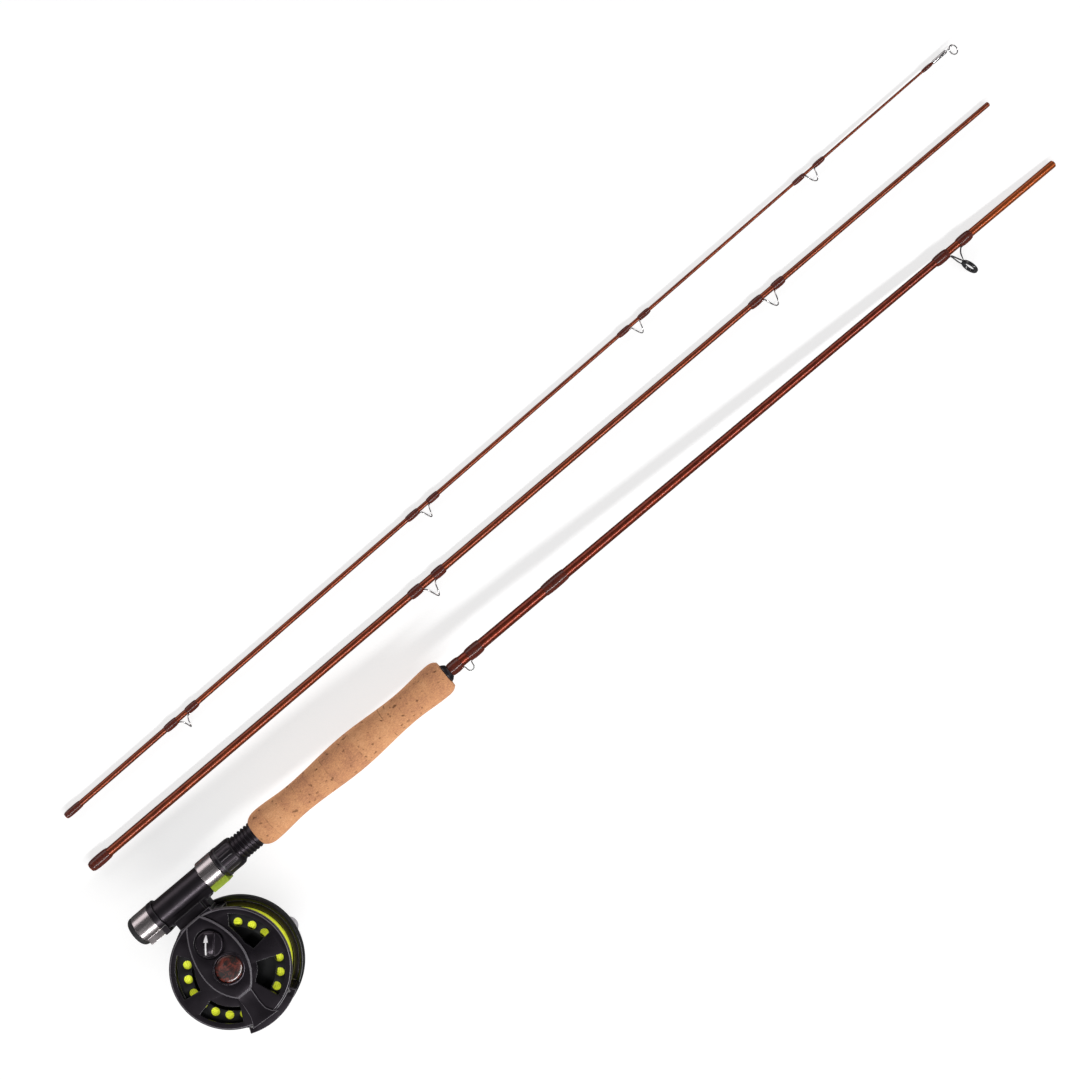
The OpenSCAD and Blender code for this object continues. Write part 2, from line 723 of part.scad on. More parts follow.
// Front ring, two pillars, the wide brace and the block under the foot
module frame_cage() {
    color(BLACK) on_reel() difference() {
        union() {
            disc(ring_z0, ring_z1, ring_r1, ring_r0);
            translate([0, 0, ring_z0]) linear_extrude(plate_z0 - GAP - ring_z0) intersection() {
                difference() {
                    circle(r = ring_r1);
                    circle(r = ring_r0 + 0.1);
                }
                union() {
                    wedge(62, 118, 60);
                    wedge(176, 184, 60);
                    wedge(246, 302, 60);
                }
            }
            translate([0, 0, rim_z1 + 0.6]) linear_extrude(plate_z0 - GAP - rim_z1 - 0.6)
                brace_outline(ring_r1 - 0.1, 45.4);
            // Flat block that the foot's stem sits on
            slab(stem_x0, stem_x1, 39.5, ring_r1, -5, plate_z0 - GAP);
        }
        for (a = SCREW_ANGLES)
            translate(polar(screw_ring_r, a)) {
                hole(0, 0, ring_z0 - 1, plate_z0 + 1, 1.05);
                hole(0, 0, ring_z0 - 1, ring_z0 + screw_head_h + 0.1, screw_head_r + 0.05);
            }
        for (s = [-1, 1])
            translate([2 + 8 * s, 38, 2]) rotate([-90, 0, 0]) {
                cylinder(h = 6, r = 1.05);
                cylinder(h = 2.4, r = 1.95);
            }
        // Window through the middle of the brace
        translate([0, 0, -3]) linear_extrude(10) difference() {
            wedge(256, 292, 60);
            circle(r = 30);
        }
    }
}

module frame_screws() {
    color(STEEL) on_reel()
        for (a = SCREW_ANGLES)
            translate(polar(screw_ring_r, a)) {
                hole(0, 0, ring_z0 + 0.1, ring_z0 + screw_head_h, screw_head_r);
                hole(0, 0, ring_z0 + screw_head_h - 0.1, plate_z0 + 1.7, 0.9);
            }
}

COVER_SCREWS = [[-7.2, 36], [8, 36], [-10, -10.5], [5.4, -11.6]];

// Leaf-shaped cover with a flared tail that runs down to the rim
module leaf_cover() {
    tail = [[-9.2, leaf_y0 + 1.6], [-9.6, -25], [-10.7, -32.5], [-12.6, -37], [-14.6, -39.6],
            [6.6, -41.2], [3.6, -38.4], [1.2, -34], [0.9, -28], [2, leaf_y0 + 1.2]];
    color(BLACK) on_reel() difference() {
        union() {
            translate([0, 0, plate_z1 + GAP]) {
                linear_extrude(cover_z1 - plate_z1 - 0.7) leaf_outline();
                linear_extrude(cover_z1 - plate_z1 - GAP)
                    leaf_outline(-0.7, leaf_y0 + 0.7, leaf_y1 - 0.7);
                linear_extrude(1.3) polygon(tail);
            }
        }
        hole(medal_centre[0], medal_centre[1], plate_z1 - 1, cover_z1 + 1, medal_r + 0.35);
        hole(0, dial_y, plate_z1 - 1, cover_z1 + 1, dial_shaft_r + spindle_play);
        hole(0, dial_y, cover_z1 - 0.9, cover_z1 + 1, dial_r + 1.2);
        for (p = COVER_SCREWS) hole(p[0], p[1], plate_z1 - 1, plate_z1 + 1.2, 0.92);
    }
}

// Screws from inside the frame up into the cover
module cover_screws() {
    color(STEEL) on_reel()
        for (p = COVER_SCREWS)
            translate(p) {
                translate([0, 0, plate_z0 - 0.9]) cylinder(h = 0.9 - GAP, r = 1.7);
                translate([0, 0, plate_z0 - 0.2]) cylinder(h = 4.2, r = 0.9);
            }
}

module medallion() {
    color([0.32, 0.10, 0.07]) on_reel() translate(medal_centre) rotate_extrude() polygon(concat(
        [[0, plate_z1 + 1.95], [medal_r - 1, plate_z1 + 1.95]],
        [for (i = [0:6]) let (r = (medal_r - 1) * (1 - i / 6)) [r, 18.9 - 0.009 * r * r]]));
}

module medallion_bezel() {
    in = medal_r - 0.9;
    color(BLACK) on_reel() translate(medal_centre) rotate_extrude() polygon([
        [in, plate_z1 + 1.3], [in, 18], [in + 0.5, 18.5], [bezel_r - 0.6, 18.2],
        [bezel_r, cover_z1 + GAP],
        [medal_r + 0.3, cover_z1 + GAP], [medal_r + 0.3, plate_z1 + 2 * GAP],
        [in - 1.5, plate_z1 + 2 * GAP], [in - 1.5, plate_z1 + 1.3]]);
}

module spindle() {
    color(STEEL) on_reel() rotate_extrude() polygon([
        [0, -16.4], [2.4, -16.4], [spindle_r, -15.8], [spindle_r, -15.6], [2.2, -15.6],
        [2.2, -14.1], [spindle_r, -14.1], [spindle_r, 9.4], [5.5, 9.4], [5.5, plate_z0 - GAP],
        [spindle_r, plate_z0 - GAP], [spindle_r, 16.7], [0, 16.7]]);
}

module spindle_nut() {
    color(STEEL) on_reel() translate([0, 0, plate_z1 + GAP]) difference() {
        cylinder(h = 1.2, r = 5, $fn = 6);
        translate([0, 0, -1]) cylinder(h = 4, r = spindle_r + GAP);
    }
}

// ---------- Click and drag ----------

module click_posts() {
    color(STEEL) on_reel() {
        hole(pawl_x, pawl_y, 5.4, plate_z0 + 1.4, post_r);
        hole(spring_post[0], spring_post[1], 5.4, plate_z0 + 1.4, 1.2);
    }
}

module click_spring() {
    c = spring_post;
    R = 1.75;
    turn = [for (a = [-90:-22.5:-270]) [c[0] + R * cos(a), c[1] + R * sin(a), 6.3]];
    color(STEEL) on_reel() wire(concat([[3.5, c[1] - R - 0.2, 6.3]], turn,
                                       [[3, c[1] + R + 0.1, 6.3]]), 0.35);
}

module click_pawl() {
    color(STEEL) on_reel() translate([0, 0, 5.3]) difference() {
        linear_extrude(2) union() {
            translate([pawl_x, pawl_y]) circle(r = 2.7);
            polygon([[pawl_x, pawl_y + 2], [2.5, pawl_y + 1.6], [-1.6, pawl_y + 1.4], [-1.6, 11.6],
                     [0, gear_r + 0.5], [1.6, 11.4], [pawl_x - 1, pawl_y - 2.2]]);
        }
        translate([pawl_x, pawl_y, -1]) cylinder(h = 4, r = post_r + spindle_play);
    }
}

module drag_dial() {
    color(BLACK) on_reel() translate([0, dial_y, 0]) rotate([0, 0, dial_angle]) {
        rotate_extrude() polygon([
            [0, 5.3], [1.5, 5.3], [1.5, 7.6], [dial_shaft_r, 7.6], [dial_shaft_r, cover_z1 - 0.7],
            [dial_r - 0.3, cover_z1 - 0.7], [dial_r, cover_z1 - 0.3], [dial_r, 18.6],
            [dial_r - 0.7, 19.3], [0, 19.3]]);
        intersection() {
            slab(-8.7, 8.7, -3.4, 3.4, 19, 22.4);
            cylinder(h = 30, r = 8.7);
            translate([0, 0, 8.4]) rotate([90, 0, 0]) cylinder(h = 10, r = 14, center = true);
        }
    }
}

module drag_cam() {
    color(STEEL) on_reel() translate([0, dial_y, 5.5]) difference() {
        translate([0, 1, 0]) cylinder(h = 2, r = 3);
        translate([0, 0, -1]) cylinder(h = 4, r = 1.5 + GAP);
    }
}

// ---------- Spool ----------

module spool() {
    color(BLACK) on_reel() difference() {
        rotate_extrude() polygon([
            [bush_r + GAP, low_flange_z0], [rim_in - 0.1, low_flange_z0], [rim_in - 0.1, low_flange_z1],
            [hub_r, low_flange_z1], [hub_r, dish_z - 0.1], [dish_r + 0.8, dish_z - 0.1],
            [dish_r + 0.8, flange_z0], [flange_r, flange_z0], [flange_r, flange_z1 - 0.4],
            [flange_r - 0.4, flange_z1], [dish_r, flange_z1], [dish_r, dish_z + web_t],
            [bush_r + GAP, dish_z + web_t]]);
        for (i = [0:hole_count - 1])
            rotate([0, 0, hole_phase + i * 360 / hole_count])
                hole(hole_ring_r, 0, flange_z0 - 1, flange_z1 + 1, hole_r);
        rotate([0, 0, knob_angle]) hole(knob_R, 0, low_flange_z0 - 1, low_flange_z1 + 1, pin_r + GAP);
        for (s = [-1, 1])
            hole(0, latch_screw_y * s, low_flange_z0 - 1, latch_screw_z1 + 0.3, 0.88);
        // Pockets between the hub's ribs, open underneath
        for (i = [0:hub_ribs - 1])
            rotate([0, 0, (i + 0.5) * 360 / hub_ribs])
                translate([0, 0, low_flange_z0 - 1])
                    linear_extrude(dish_z - 1.2 - low_flange_z0 + 1) difference() {
                        wedge(-25, 25, hub_r - 1.2);
                        circle(r = hub_boss_r);
                    }
    }
}

module palming_rim() {
    color(BLACK) on_reel() rotate_extrude() polygon([
        [rim_in, rim_z0 + 0.5], [rim_in + 0.5, rim_z0], [rim_r - 1.2, rim_z0], [rim_r, rim_z0 + 1.2],
        [rim_r, rim_z1 - 1], [rim_r - 1, rim_z1], [rim_in + 0.3, rim_z1], [rim_in, rim_z1 - 0.3]]);
}

module spool_bush() {
    color([0.78, 0.62, 0.30]) on_reel() disc(low_flange_z0, gear_z1, bush_r, spindle_r + spindle_play);
}

module click_ratchet() {
    color(STEEL) on_reel() translate([0, 0, gear_z0]) linear_extrude(gear_z1 - gear_z0) difference() {
        polygon([for (i = [0:2 * ratchet_teeth - 1])
            polar(i % 2 == 0 ? gear_r : gear_r - 1.1, i * 180 / ratchet_teeth)]);
        circle(r = bush_r + GAP);
    }
}

module line_winding() {
    g = 0.06;
    color(LIME) on_reel() rotate_extrude() polygon([
        [hub_r + g, low_flange_z1 + g], [line_r - 1, low_flange_z1 + g], [line_r, low_flange_z1 + 1],
        [line_r, flange_z0 - 1], [line_r - 1, flange_z0 - g], [dish_r + 0.8 + g, flange_z0 - g],
        [dish_r + 0.8 + g, dish_z - 0.1 - g], [hub_r + g, dish_z - 0.1 - g]]);
}

// ---------- Spool latch, under the spool ----------

module latch_cover() {
    color(BLACK) on_reel() difference() {
        union() {
            disc(-17.6, low_flange_z0 - GAP, 9.6);
            rotate_extrude() polygon([[8, -17.6], [9.6, -17.6], [10.4, -16.8],
                [10.4, low_flange_z0 - GAP], [8, low_flange_z0 - GAP]]);
        }
        disc(-16.7, low_flange_z0 + 1, spindle_r + 0.4);
        // Slideway of the lever and its spring
        slab(-8.6, 7.6, -latch_half - 0.2, latch_half + 0.2, -15.8, low_flange_z0 + 1);
        slab(2.8, 7.1, -1.6, 1.6, -19, -15);
        for (s = [-1, 1]) hole(0, latch_screw_y * s, -19, -13, 0.95);
    }
}

module latch_screws() {
    color(STEEL) on_reel()
        for (s = [-1, 1]) {
            hole(0, latch_screw_y * s, -18.2, -17.6 - GAP, 1.5);
            hole(0, latch_screw_y * s, -17.7, latch_screw_z1, 0.85);
        }
}

// Sprung plate whose slot drops into the spindle's groove
module latch_lever() {
    color(STEEL) on_reel() difference() {
        union() {
            slab(-5.6, 7, -latch_half, latch_half, -15.45, -14.25);
            slab(4.3, 6.8, -1.3, 1.3, -18.8, -15.3);
        }
        hole(0.85, 0, -15.6, -13, spindle_r + 0.15);
        hole(1.3, 0, -15.6, -13, spindle_r + 0.15);
    }
}

module latch_spring() {
    turns = 4;
    steps = 12;
    color(STEEL) on_reel() wire([for (i = [0:turns * steps])
        [-8.4 + 2.5 * i / (turns * steps), 0.55 * cos(i * 360 / steps),
         -14.85 + 0.55 * sin(i * 360 / steps)]], 0.12, 6);
}

module counterweight() {
    color(STEEL) on_reel() rotate([0, 0, knob_angle + 180]) translate([knob_R, 0, 0])
        rotate_extrude() polygon([[0, -16.2], [4, -16.2], [4.8, -15.4],
            [4.8, low_flange_z0 - GAP], [0, low_flange_z0 - GAP]]);
}

module at_knob() {
    on_reel() rotate([0, 0, knob_angle]) translate([knob_R, 0, 0]) children();
}

module handle_pin() {
    color(STEEL) at_knob() rotate_extrude() polygon([
        [0, -39.6], [2.8, -39.6], [3.1, -39.2], [3.1, -38.5], [pin_r, -38.5], [pin_r, -15.4],
        [3.4, -15.4], [3.4, low_flange_z0 - GAP], [pin_r, low_flange_z0 - GAP], [pin_r, low_flange_z1],
        [0, low_flange_z1]]);
}

module handle_knob() {
    bore = pin_r + spindle_play;
    color([0.70, 0.69, 0.71]) at_knob() rotate_extrude() polygon(concat(
        [[3.4, knob_z0], [knob_r - 1.1, knob_z0], [knob_r - 0.3, knob_z0 + 0.4], [knob_r, knob_z0 + 1.4]],
        [for (i = [1:9]) let (u = i / 10)
            [knob_r - 0.2 - 0.9 * sin(180 * u), lerp(knob_z0 + 2, knob_z1 - 1, u)]],
        [[knob_r - 0.4, knob_z1 - 0.7], [knob_r - 1.2, knob_z1], [bore, knob_z1], [bore, -38.2],
         [3.4, -38.2]]));
}

butt_blank();
butt_cap();
fixed_hood();
hood_collar();
seat_barrel();
seat_arbors();
cork_rings();
winding_check();
hook_keeper();
keeper_wraps();
accent_wrap();
stripping_guide_frame();
stripping_guide_ring();
stripping_guide_wraps();
reel_foot();
foot_screws();
frame_plate();
frame_cage();
frame_screws();
leaf_cover();
cover_screws();
medallion();
medallion_bezel();
spindle();
spindle_nut();
click_posts();
click_spring();
drag_dial();
drag_cam();
click_pawl();
spool();
palming_rim();
spool_bush();
click_ratchet();
line_winding();
latch_cover();
latch_screws();
latch_spring();
latch_lever();
counterweight();
handle_pin();
handle_knob();
sliding_hood();
hood_insert();
lock_nut();
mid_blank();
mid_ferrule_wrap();
mid_snake_guide_1();
mid_snake_guide_2();
mid_guide_wraps();
tip_blank();
tip_ferrule_wrap();
tip_snake_guide_1();
tip_snake_guide_2();
tip_snake_guide_3();
tip_snake_guide_4();
tip_guide_wraps();
tip_top();
tip_top_wrap();
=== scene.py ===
"""Looks of a three-section fly rod and its rim-control reel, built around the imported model.

Lengths in the code are millimetres in the section's own frame: x runs along the rod from the butt,
-y is the side of the reel and the guides, z is up. A frame's matrix turns them into metres.
"""

import json
import math
import random

import bmesh
import bpy
from mathutils import Matrix, Vector, noise


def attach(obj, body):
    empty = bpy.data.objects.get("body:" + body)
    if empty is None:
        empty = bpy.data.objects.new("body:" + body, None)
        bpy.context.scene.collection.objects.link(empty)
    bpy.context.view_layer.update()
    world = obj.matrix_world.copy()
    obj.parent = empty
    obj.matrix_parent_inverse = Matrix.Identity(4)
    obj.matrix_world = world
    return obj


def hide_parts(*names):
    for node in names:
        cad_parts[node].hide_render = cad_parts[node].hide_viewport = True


MM = 0.001

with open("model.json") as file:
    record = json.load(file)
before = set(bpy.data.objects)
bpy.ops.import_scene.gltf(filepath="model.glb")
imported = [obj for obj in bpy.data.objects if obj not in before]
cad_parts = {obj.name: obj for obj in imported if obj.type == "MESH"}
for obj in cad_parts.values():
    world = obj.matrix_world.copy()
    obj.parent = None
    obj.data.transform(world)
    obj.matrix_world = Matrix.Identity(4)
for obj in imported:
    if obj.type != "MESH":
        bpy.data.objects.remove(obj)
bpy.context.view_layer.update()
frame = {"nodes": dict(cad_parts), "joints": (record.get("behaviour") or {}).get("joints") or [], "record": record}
record = frame["record"]
nodes = frame["nodes"]
JOINTS = {j["name"]: j for j in frame["joints"]}
MOUNTS = {m["name"]: m for m in record["mounts"]}


# ---------- Frames ----------


def make_frame(point, along, distance):
    """A frame with x along the rod, whose origin lies distance millimetres back from the point."""
    x = Vector(along).normalized()
    y = (Vector((0, 1, 0)) - x * x.y).normalized()
    z = x.cross(y)
    origin = Vector(point) - x * distance * MM
    turn = Matrix((x, y, z)).transposed()
    return Matrix.Translation(origin) @ turn.to_4x4() @ Matrix.Scale(MM, 4)


# Where the lock nut's joint and the two sockets' mounts lie along their sections
NUT_X = 82
SOCKET_X = 30
BUTT = make_frame(JOINTS["nut_turn"]["pos_m"], JOINTS["nut_turn"]["axis"], NUT_X)
MID = make_frame(MOUNTS["mid_socket"]["pos_m"], -Vector(MOUNTS["mid_socket"]["axis"]), SOCKET_X)
TIP = make_frame(MOUNTS["tip_socket"]["pos_m"], -Vector(MOUNTS["tip_socket"]["axis"]), SOCKET_X)
REEL = Matrix.Translation(JOINTS["spool_spin"]["pos_m"]) @ BUTT.to_3x3().to_4x4()
DIAL = Matrix.Translation(JOINTS["drag_turn"]["pos_m"]) @ BUTT.to_3x3().to_4x4()
KNOB = Matrix.Translation(JOINTS["knob_spin"]["pos_m"]) @ BUTT.to_3x3().to_4x4()
SECTIONS = {"butt": BUTT, "mid": MID, "tip": TIP}


def local_points(name, place):
    """The CAD node's corners in the given frame, in millimetres."""
    back = place.inverted()
    return [back @ v.co for v in nodes[name].data.vertices]


def local_box(name, place):
    """The node's lowest and highest corners in the given frame, in millimetres."""
    points = local_points(name, place)
    low = Vector([min(p[k] for p in points) for k in range(3)])
    high = Vector([max(p[k] for p in points) for k in range(3)])
    return low, high


# ---------- Meshes ----------

# Corners closer than this, in metres, are one corner
WELD = 2e-6
# A rounded corner takes at most this share of the edges beside it
CORNER_SHARE = 0.45
# Faces that meet at less than this many degrees become one before the edges are rounded
FLAT_ANGLE = 0.6
# Edges sharper than this many degrees are rounded, in this many steps
EDGE_ANGLE = 28
EDGE_SEGMENTS = 3


def new_piece(name, mesh_data, body, slot, material, *replaced):
    """A smooth-shaded piece that rides on the body and stands for the replaced nodes."""
    piece = bpy.data.objects.new(name, mesh_data)
    bpy.context.scene.collection.objects.link(piece)
    mesh_data.materials.clear()
    mesh_data.materials.append(material)
    mesh_data.shade_smooth()
    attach(piece, body)
    if replaced:
        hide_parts(*replaced)
    return piece


def grid(verts, faces, point, rows, columns, closed_rows):
    """Adds a grid of quads. point(i, j) gives each corner; the columns always close on themselves."""
    start = len(verts)
    verts.extend(point(i, j) for i in range(rows) for j in range(columns))
    last = rows if closed_rows else rows - 1
    for i in range(last):
        for j in range(columns):
            a = start + i * columns + j
            b = start + i * columns + (j + 1) % columns
            c = start + (i + 1) % rows * columns + (j + 1) % columns
            d = start + (i + 1) % rows * columns + j
            faces.append((a, b, c, d))
    return start


def build_mesh(name, verts, faces):
    """A mesh whose faces all look outwards."""
    mesh_data = bpy.data.meshes.new(name)
    mesh_data.from_pydata([tuple(v) for v in verts], [], faces)
    mesh_data.validate()
    shaped = bmesh.new()
    shaped.from_mesh(mesh_data)
    bmesh.ops.recalc_face_normals(shaped, faces=shaped.faces)
    shaped.to_mesh(mesh_data)
    shaped.free()
    return mesh_data


def around_x(x, radius, angle):
    return Vector((x, radius * math.cos(angle), radius * math.sin(angle)))


def around_z(z, radius, angle):
    return Vector((radius * math.cos(angle), radius * math.sin(angle), z))


def revolve(verts, faces, place, outline, sides=96, turn=around_x, radius_of=None):
    """A solid of revolution from (station, radius) points. An outline that starts and ends on the
    axis is capped there, and any other outline closes on itself as a ring."""
    capped = outline[0][1] < 1e-6 and outline[-1][1] < 1e-6
    ring = outline[1:-1] if capped else outline

    def point(i, j):
        station, radius = ring[i]
        angle = math.tau * j / sides
        if radius_of:
            radius = radius_of(station, radius, angle)
        return place @ turn(station, radius, angle)

    start = grid(verts, faces, point, len(ring), sides, not capped)
    if capped:
        first = len(verts)
        verts.append(place @ turn(outline[0][0], 0, 0))
        verts.append(place @ turn(outline[-1][0], 0, 0))
        top = start + (len(ring) - 1) * sides
        for j in range(sides):
            k = (j + 1) % sides
            faces.append((start + k, start + j, first))
            faces.append((top + j, top + k, first + 1))


def rounded(points, radius, steps=4, closed=True):
    """The outline with each corner turned into a short curve."""
    points = [Vector(p) for p in points]
    count = len(points)
    out = []
    for i in range(count):
        if not closed and i in (0, count - 1):
            out.append(points[i])
            continue
        corner = points[i]
        before = points[i - 1] - corner
        after = points[(i + 1) % count] - corner
        start = corner + before.normalized() * min(radius, before.length * CORNER_SHARE)
        end = corner + after.normalized() * min(radius, after.length * CORNER_SHARE)
        for k in range(steps + 1):
            u = k / steps
            out.append(start * (1 - u) ** 2 + corner * 2 * u * (1 - u) + end * u * u)
    return [tuple(p) for p in out]


def smooth_path(points, per_span=8):
    """A curve through the points (Catmull-Rom)."""
    points = [Vector(p) for p in points]
    ends = [points[0] * 2 - points[1], *points, points[-1] * 2 - points[-2]]
    out = []
    for p0, p1, p2, p3 in zip(ends, ends[1:], ends[2:], ends[3:]):
        for k in range(per_span):
            u = k / per_span
            bend = (2 * p0 - 5 * p1 + 4 * p2 - p3) * u * u + (3 * p1 - p0 - 3 * p2 + p3) * u**3
            out.append(0.5 * (2 * p1 + (p2 - p0) * u + bend))
    return [*out, points[-1]]


def sweep(verts, faces, place, path, radius, sides):
    """A round wire along the path. radius is a number, or a function of the share of the path that
    gives (width, height): a foot ground flat has less height."""
    count = len(path)
    along = [(path[min(i + 1, count - 1)] - path[max(i - 1, 0)]).normalized() for i in range(count)]
    side = along[0].cross(Vector((0, 1, 0)))
    if side.length < 0.1:
        side = along[0].cross(Vector((0, 0, 1)))
    sides_of = []
    for t in along:
        side = (side - t * side.dot(t)).normalized()
        sides_of.append(side.copy())

    def point(i, j):
        angle = math.tau * j / sides
        up = sides_of[i].cross(along[i])
        wide, high = radius(i / (count - 1)) if callable(radius) else (radius, radius)
        return place @ (
            path[i] + sides_of[i] * wide * math.cos(angle) + up * high * math.sin(angle)
        )

    start = grid(verts, faces, point, count, sides, False)
    last = start + (count - 1) * sides
    faces.append(tuple(start + j for j in reversed(range(sides))))
    faces.append(tuple(last + j for j in range(sides)))


def bevelled(node, width, body, slot, look, name):
    """A copy of a CAD node with its sharp edges rounded over by width millimetres. look is a name in
    LOOKS, and where that has an edge highlight look beside it, the rounded edges take that one, whose paler colour
    is a painted highlight."""
    shaped = bmesh.new()
    shaped.from_mesh(nodes[node].data)
    bmesh.ops.remove_doubles(shaped, verts=shaped.verts, dist=WELD)
    bmesh.ops.dissolve_limit(
        shaped, angle_limit=math.radians(FLAT_ANGLE), verts=shaped.verts, edges=shaped.edges
    )
    bmesh.ops.connect_verts_concave(shaped, faces=shaped.faces)
    mesh_data = bpy.data.meshes.new(name)
    shaped.to_mesh(mesh_data)
    shaped.free()
    piece = new_piece(name, mesh_data, body, slot, LOOKS[look], node)
    edge = piece.modifiers.new("edges", "BEVEL")
    # The rounded edges take a paler colour here: a painted highlight along the edge.
    if look + "_rubbed" in LOOKS:
        mesh_data.materials.append(LOOKS[look + "_rubbed"])
        edge.material = 1
    edge.width = width * MM
    edge.segments = EDGE_SEGMENTS
    edge.limit_method = "ANGLE"
    edge.angle_limit = math.radians(EDGE_ANGLE)
    edge.use_clamp_overlap = False
    edge.miter_outer = "MITER_ARC"
    apply_modifiers(piece)
    shade_by_angle(piece, 35)


def built(name, verts, faces, body, slot, look, *replaced):
    """A new piece from corners and faces. look is a name in LOOKS."""
    return new_piece(name, build_mesh(name, verts, faces), body, slot, LOOKS[look], *replaced)


def apply_modifiers(piece):
    """Turns what the modifiers make into the piece's own mesh."""
    graph = bpy.context.evaluated_depsgraph_get()
    final = bpy.data.meshes.new_from_object(piece.evaluated_get(graph))
    old = piece.data
    piece.modifiers.clear()
    piece.data = final
    bpy.data.meshes.remove(old)


def shade_by_angle(piece, degrees):
    """Smooth shading, with a hard edge wherever two faces meet at more than the angle."""
    shaped = bmesh.new()
    shaped.from_mesh(piece.data)
    limit = math.radians(degrees)
    for edge in shaped.edges:
        edge.smooth = len(edge.link_faces) == 2 and edge.calc_face_angle(0) < limit
    for face in shaped.faces:
        face.smooth = True
    shaped.to_mesh(piece.data)
    shaped.free()


# ---------- Materials ----------


class Shader:
    """A node material in a section's own frame, in millimetres."""

    def __init__(self, name, place=None, **values):
        self.material = bpy.data.materials.new(name)
        self.material.use_nodes = True
        self.tree = self.material.node_tree
        self.surface = self.tree.nodes["Principled BSDF"]
        for socket, value in values.items():
            self.surface.inputs[socket.replace("_", " ")].default_value = value
        coordinates = self.tree.nodes.new("ShaderNodeTexCoord")
        if place is None:
            place = Matrix.Scale(MM, 4)
        mapping = self.tree.nodes.new("ShaderNodeMapping")
        mapping.vector_type = "TEXTURE"
        mapping.inputs["Location"].default_value = place.to_translation()
        mapping.inputs["Rotation"].default_value = place.to_3x3().normalized().to_euler()
        mapping.inputs["Scale"].default_value = (MM, MM, MM)
        self.link(coordinates.outputs["Object"], mapping.inputs["Vector"])
        self.place = mapping.outputs["Vector"]

    def link(self, output, socket):
        self.tree.links.new(output, socket)

    def node(self, kind, **values):
        """A shader node. Each value is set on the node itself, or on the input of that name."""
        made = self.tree.nodes.new("ShaderNode" + kind)
        for key, value in values.items():
            if hasattr(made, key):
                setattr(made, key, value)
            else:
                made.inputs[key.replace("_", " ").capitalize()].default_value = value
        return made

    def math(self, operation, a, b=0.0):
        """A math node's result. a and b are numbers or outputs."""
        made = self.tree.nodes.new("ShaderNodeMath")
        made.operation = operation
        for socket, value in zip(made.inputs, (a, b)):
            if isinstance(value, (int, float)):
                socket.default_value = value
            else:
                self.link(value, socket)
        return made.outputs[0]

    def add(self, a, b):
        return self.math("ADD", a, b)

    def times(self, a, b):
        return self.math("MULTIPLY", a, b)

    def axis(self, letter):
        """How far along X, Y or Z of the section's frame a point lies, in millimetres."""
        parts = self.tree.nodes.new("ShaderNodeSeparateXYZ")
        self.link(self.place, parts.inputs[0])
        return parts.outputs[letter]

    def stretched(self, scale):
        """The place with each axis multiplied by its own number."""
        made = self.tree.nodes.new("ShaderNodeVectorMath")
        made.operation = "MULTIPLY"
        self.link(self.place, made.inputs[0])
        made.inputs[1].default_value = scale
        return made.outputs[0]

    def noise(self, scale, detail=3, roughness=0.5, place=None, distortion=0.0):
        """Noise from 0 to 1 with about scale features a millimetre."""
        made = self.node("TexNoise", scale=scale, detail=detail, roughness=roughness)
        made.inputs["Distortion"].default_value = distortion
        self.link(place or self.place, made.inputs["Vector"])
        return made.outputs["Fac"]

    def ramp(self, value, *stops):
        """Colours or grey levels at places between 0 and 1."""
        made = self.tree.nodes.new("ShaderNodeValToRGB")
        ramp = made.color_ramp
        while len(ramp.elements) < len(stops):
            ramp.elements.new(1.0)
        for element, (position, colour) in zip(ramp.elements, stops):
            element.position = position
            if isinstance(colour, (int, float)):
                colour = (colour,) * 3
            element.color = (*colour, 1)
        self.link(value, made.inputs[0])
        return made.outputs[0]

    def mix(self, share, a, b):
        """Colour a where the share is 0, and b where it is 1."""
        made = self.tree.nodes.new("ShaderNodeMix")
        made.data_type = "RGBA"
        for socket, value in zip((made.inputs[0], made.inputs[6], made.inputs[7]), (share, a, b)):
            if isinstance(value, tuple):
                socket.default_value = (*value, 1)
            elif isinstance(value, (int, float)):
                socket.default_value = value
            else:
                self.link(value, socket)
        return made.outputs[2]

    def colour(self, value):
        if isinstance(value, tuple):
            self.surface.inputs["Base Color"].default_value = (*value, 1)
        else:
            self.link(value, self.surface.inputs["Base Color"])

    def roughness(self, value, low, high):
        """Roughness that goes from low to high as the value goes from 0 to 1."""
        spread = self.tree.nodes.new("ShaderNodeMapRange")
        self.link(value, spread.inputs["Value"])
        spread.inputs["To Min"].default_value = low
        spread.inputs["To Max"].default_value = high
        self.link(spread.outputs[0], self.surface.inputs["Roughness"])

    def bump(self, height, depth, strength):
        """Bump whose height runs over depth millimetres."""
        made = self.tree.nodes.new("ShaderNodeBump")
        made.inputs["Strength"].default_value = strength
        made.inputs["Distance"].default_value = depth * MM
        self.link(height, made.inputs["Height"])
        self.link(made.outputs[0], self.surface.inputs["Normal"])


BLANK_LIGHT = (0.30, 0.062, 0.019)
BLANK_DARK = (0.13, 0.022, 0.010)
BLANK_PALE = (0.40, 0.085, 0.016)
BUTT_LIGHT = (0.26, 0.040, 0.014)
BUTT_DARK = (0.11, 0.015, 0.007)
# The butt blank's colour is paler from here on, and turns so over this length
PALE_X = 740
PALE_LENGTH = 100


